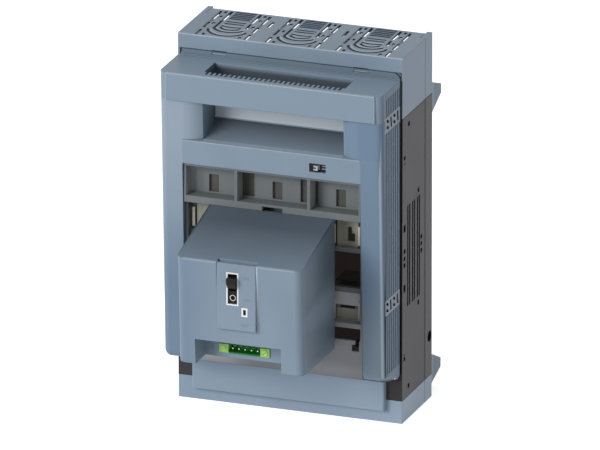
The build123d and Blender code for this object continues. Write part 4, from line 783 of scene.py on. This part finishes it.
def dial_zone(colours):
    """Light ring on the face of the setting dial."""
    x, height = DIAL
    # From before the dial to behind it
    low = (x - DIAL_REACH, BOX_AHEAD, height - DIAL_REACH)
    high = (x + DIAL_REACH, AHEAD, height + DIAL_REACH)
    return ring_zone(low, high, (x, 0.0, height), DIAL_RING, (1.0, 0.0, 1.0), colours.cream)


class FUSESWITCH_OT_controls(bpy.types.Operator):
    """Paint rocker, dial, test button, rims, header and circuit board"""

    bl_idname = "fuseswitch.controls"
    bl_label = "Controls"

    def execute(self, context):
        colours = context.scene.fuse_switch_colours
        black = moulding("Black polyamide, moulded", colours.black, roughness=0.34, round_mm=0.3, tone=0.03)
        paint(black, *by_slot("black_moulding"), "test_button")
        white = moulding("White rims, moulded", colours.white, roughness=0.4, round_mm=0.1)
        paint(white, "window_rims")
        dial = moulding(
            "Black dial with a light ring", colours.black, roughness=0.35, round_mm=0.1,
            zones=[dial_zone(colours)],
        )
        paint(dial, "setting_dial")
        slider = moulding(
            "Black slider with white bars", colours.black, round_mm=0.2, zones=slider_zones(colours)
        )
        paint(slider, "lock_slider")
        green = moulding(
            "Green header moulding with light flanges", colours.dark_green, roughness=0.35, round_mm=0.15,
            zones=flange_zones(colours),
        )
        paint(green, *by_slot("green_moulding"))
        bush = moulding("Yellow-green flange bush", colours.bush_green, roughness=0.4, round_mm=0.1)
        paint(bush, "flange_screws")
        board = moulding("Glass-fibre board, green solder mask", colours.board, roughness=0.3, grain_mm=1.0)
        paint(board, *by_slot("board_laminate"))
        return {"FINISHED"}


def new_object(name, data):
    """An object that holds the data, linked to the scene and left at the origin."""
    made = bpy.data.objects.new(name, data)
    bpy.context.scene.collection.objects.link(made)
    return made


def face_object(name, points, faces):
    """An object made of points and of faces that list them."""
    mesh = bpy.data.meshes.new(name)
    mesh.from_pydata(points, [], faces)
    mesh.update()
    return new_object(name, mesh)


def box_object(name, low, high):
    """A closed box between two corners, faces outward."""
    corners = [(x, y, z) for z in (low[2], high[2]) for y in (low[1], high[1]) for x in (low[0], high[0])]
    faces = [(0, 2, 3, 1), (4, 5, 7, 6), (0, 1, 5, 4), (2, 6, 7, 3), (0, 4, 6, 2), (1, 3, 7, 5)]
    return face_object(name, corners, faces)


def lettering(name, words, centre, letter_height):
    """Flat words on a plane that faces the front, as a mesh with its place in its points."""
    curve = bpy.data.curves.new(name, "FONT")
    curve.body, curve.size = words, letter_height * MM
    curve.align_x, curve.align_y = "CENTER", "CENTER"
    curve.extrude = 0.01 * MM
    text = bpy.data.objects.new(name, curve)
    mesh = bpy.data.meshes.new_from_object(text)
    bpy.data.objects.remove(text)
    points = np.empty(len(mesh.vertices) * 3)
    mesh.vertices.foreach_get("co", points)
    points = points.reshape(-1, 3)
    # Upright: the text's own height becomes Z and its thickness points to the front
    upright = np.stack([points[:, 0], -points[:, 2], points[:, 1]], axis=1) + np.array(centre)
    mesh.vertices.foreach_set("co", upright.ravel())
    mesh.update()
    return new_object(name, mesh)


class FUSESWITCH_OT_marks(bpy.types.Operator):
    """Add the words beside the rocker and the lip along the panel"""

    bl_idname = "fuseswitch.marks"
    bl_label = "Marks"

    def execute(self, context):
        colours = context.scene.fuse_switch_colours
        # Matt ink with a fine grain
        ink = moulding(
            "Pale grey ink, pad printed", colours.ink, 0.5, grain_mm=0.2, grain_depth=0.004, round_mm=0.02
        )
        panel_front = -115.32
        words = (("ON", 6.2, 147.0, 3.2), ("OFF", 6.8, 129.4, 3.2), ("TEST", 5.2, 108.4, 3.0))
        for word, x, height, tall in words:
            made = lettering(f"word_{word.lower()}", word, cad_point(x, panel_front, height), tall)
            made.data.materials.append(ink)
            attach(made, "lid")
        # Lip that closes the gap along the right edge of the breaker panel
        low, high = cad_point(PANEL_EDGE + 0.02, -115.0, 103.6), cad_point(14.08, -113.2, 157.0)
        lip = box_object("panel_lip", low, high)
        lip.data.materials.append(frame["nodes"]["monitor_box"].data.materials[0])
        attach(lip, "lid")
        return {"FINISHED"}


# Stage

FLOOR_REACH = 30.0
PAPER = "#F4F5F6"
PAPER_LIFT = 0.72
KEY_PLACE, KEY_SIZE = (-2.1, -3.6, 1.85), 2.2
TOP_PLACE, TOP_SIZE = (0.1, -0.2, 1.9), 1.6
LIT_POINT = (0.0, 0.0, 0.15)
SENSOR_WIDTH = 36.0
# Point at the middle of the picture, right and up in millimetres
AIM = (8.156, 152.77)


def seen_share(tree):
    """1 for rays from the camera and for reflected or refracted ones, which show the same white, else 0."""
    path = add_node(tree, "ShaderNodeLightPath").outputs
    either = maths(tree, "MAXIMUM", path["Is Camera Ray"], path["Is Glossy Ray"])
    return maths(tree, "MAXIMUM", either, path["Is Transmission Ray"])


def stage_material(name, colour, lift):
    """White paper that is seen lifted by so much light, so its shadow stays but its tone is white."""
    material, tree, output = empty_material(name)
    place = add_node(tree, "ShaderNodeTexCoord").outputs["Object"]
    fibre = noise(tree, place, 3.0, 2.0)
    value = span(tree, fibre, 0.3, 0.7, 0.995, 1.005)
    base = add_node(tree, "ShaderNodeHueSaturation", {"Color": colour}, {"Value": value}).outputs["Color"]
    surface = add_node(tree, "ShaderNodeBsdfDiffuse", links={"Color": base})
    strength = maths(tree, "MULTIPLY", seen_share(tree), lift)
    light = add_node(tree, "ShaderNodeEmission", {"Color": (1.0, 1.0, 1.0, 1.0)}, {"Strength": strength})
    both = add_node(
        tree, "ShaderNodeAddShader", links={0: surface.outputs["BSDF"], 1: light.outputs["Emission"]}
    )
    tree.links.new(both.outputs["Shader"], output.inputs["Surface"])
    return material


def surround(ambient):
    """A white world that lights the object evenly at the level of ambient."""
    world = bpy.data.worlds.new("White surround")
    world.use_nodes = True
    tree = world.node_tree
    tree.nodes.clear()
    level = span(tree, seen_share(tree), 0.0, 1.0, ambient, 1.0)
    light = add_node(tree, "ShaderNodeBackground", {"Color": (1.0, 1.0, 1.0, 1.0)}, {"Strength": level})
    end = add_node(tree, "ShaderNodeOutputWorld")
    tree.links.new(light.outputs["Background"], end.inputs["Surface"])
    return world


def aimed(name, data, place, direction):
    """A light or camera at place that looks along direction."""
    made = new_object(name, data)
    made.location = place
    made.rotation_mode = "QUATERNION"
    made.rotation_quaternion = direction.to_track_quat("-Z", "Y")
    return made


def area_light(name, place, size, power):
    """A square area light at place, pointed at the object."""
    data = bpy.data.lights.new(name, "AREA")
    data.shape, data.size, data.energy = "SQUARE", size, power
    return aimed(name, data, place, Vector(LIT_POINT) - Vector(place))


class FUSESWITCH_OT_stage(bpy.types.Operator):
    """Add the floor, the lights and the camera"""

    bl_idname = "fuseswitch.stage"
    bl_label = "Stage"

    def execute(self, context):
        stage = context.scene.fuse_switch_stage
        reach = FLOOR_REACH
        corners = [(x, y, 0.0) for y in (-reach, reach) for x in (-reach, reach)]
        floor = face_object("Floor", corners, [(0, 1, 3, 2)])
        floor.data.materials.append(stage_material("White paper sweep", srgb(PAPER), PAPER_LIFT))

        context.scene.world = surround(stage.ambient)
        area_light("Key light", KEY_PLACE, KEY_SIZE, stage.key_power)
        area_light("Top light", TOP_PLACE, TOP_SIZE, stage.top_power)

        back = Vector((
            math.sin(stage.azimuth) * math.cos(stage.elevation),
            -math.cos(stage.azimuth) * math.cos(stage.elevation),
            math.sin(stage.elevation),
        ))
        lens = bpy.data.cameras.new("Camera")
        lens.sensor_width = SENSOR_WIDTH
        lens.lens = SENSOR_WIDTH * stage.distance / stage.picture_width
        lens.clip_start, lens.clip_end = 1.0, 40.0
        place = cad_point(AIM[0], 0.0, AIM[1]) + back * stage.distance
        context.scene.camera = aimed("Camera", lens, place, -back)
        context.scene.view_settings.view_transform = "Standard"
        return {"FINISHED"}


STEPS = (
    FUSESWITCH_OT_mouldings,
    FUSESWITCH_OT_metals,
    FUSESWITCH_OT_controls,
    FUSESWITCH_OT_marks,
    FUSESWITCH_OT_stage,
)


class FUSESWITCH_PT_panel(bpy.types.Panel):
    """Settings and steps in the sidebar of the 3D view"""

    bl_idname = "FUSESWITCH_PT_panel"
    bl_label = "Fuse Switch"
    bl_space_type = "VIEW_3D"
    bl_region_type = "UI"
    bl_category = "Fuse Switch"

    def draw(self, context):
        layout = self.layout
        for group in (context.scene.fuse_switch_colours, context.scene.fuse_switch_stage):
            box = layout.box()
            for key in group.__annotations__:
                box.prop(group, key)
        for step in STEPS:
            layout.operator(step.bl_idname)


CLASSES = (FUSESWITCH_PG_colours, FUSESWITCH_PG_stage, *STEPS, FUSESWITCH_PT_panel)


def register():
    """Registers the classes and hangs the settings on the scene."""
    for cls in CLASSES:
        bpy.utils.register_class(cls)
    bpy.types.Scene.fuse_switch_colours = bpy.props.PointerProperty(type=FUSESWITCH_PG_colours)
    bpy.types.Scene.fuse_switch_stage = bpy.props.PointerProperty(type=FUSESWITCH_PG_stage)


def unregister():
    """Takes the settings off the scene and unregisters the classes."""
    del bpy.types.Scene.fuse_switch_stage
    del bpy.types.Scene.fuse_switch_colours
    for cls in reversed(CLASSES):
        bpy.utils.unregister_class(cls)


def main():
    """Runs every step."""
    register()
    bpy.ops.fuseswitch.mouldings()
    bpy.ops.fuseswitch.metals()
    bpy.ops.fuseswitch.controls()
    bpy.ops.fuseswitch.marks()
    bpy.ops.fuseswitch.stage()


if __name__ == "__main__":
    main()
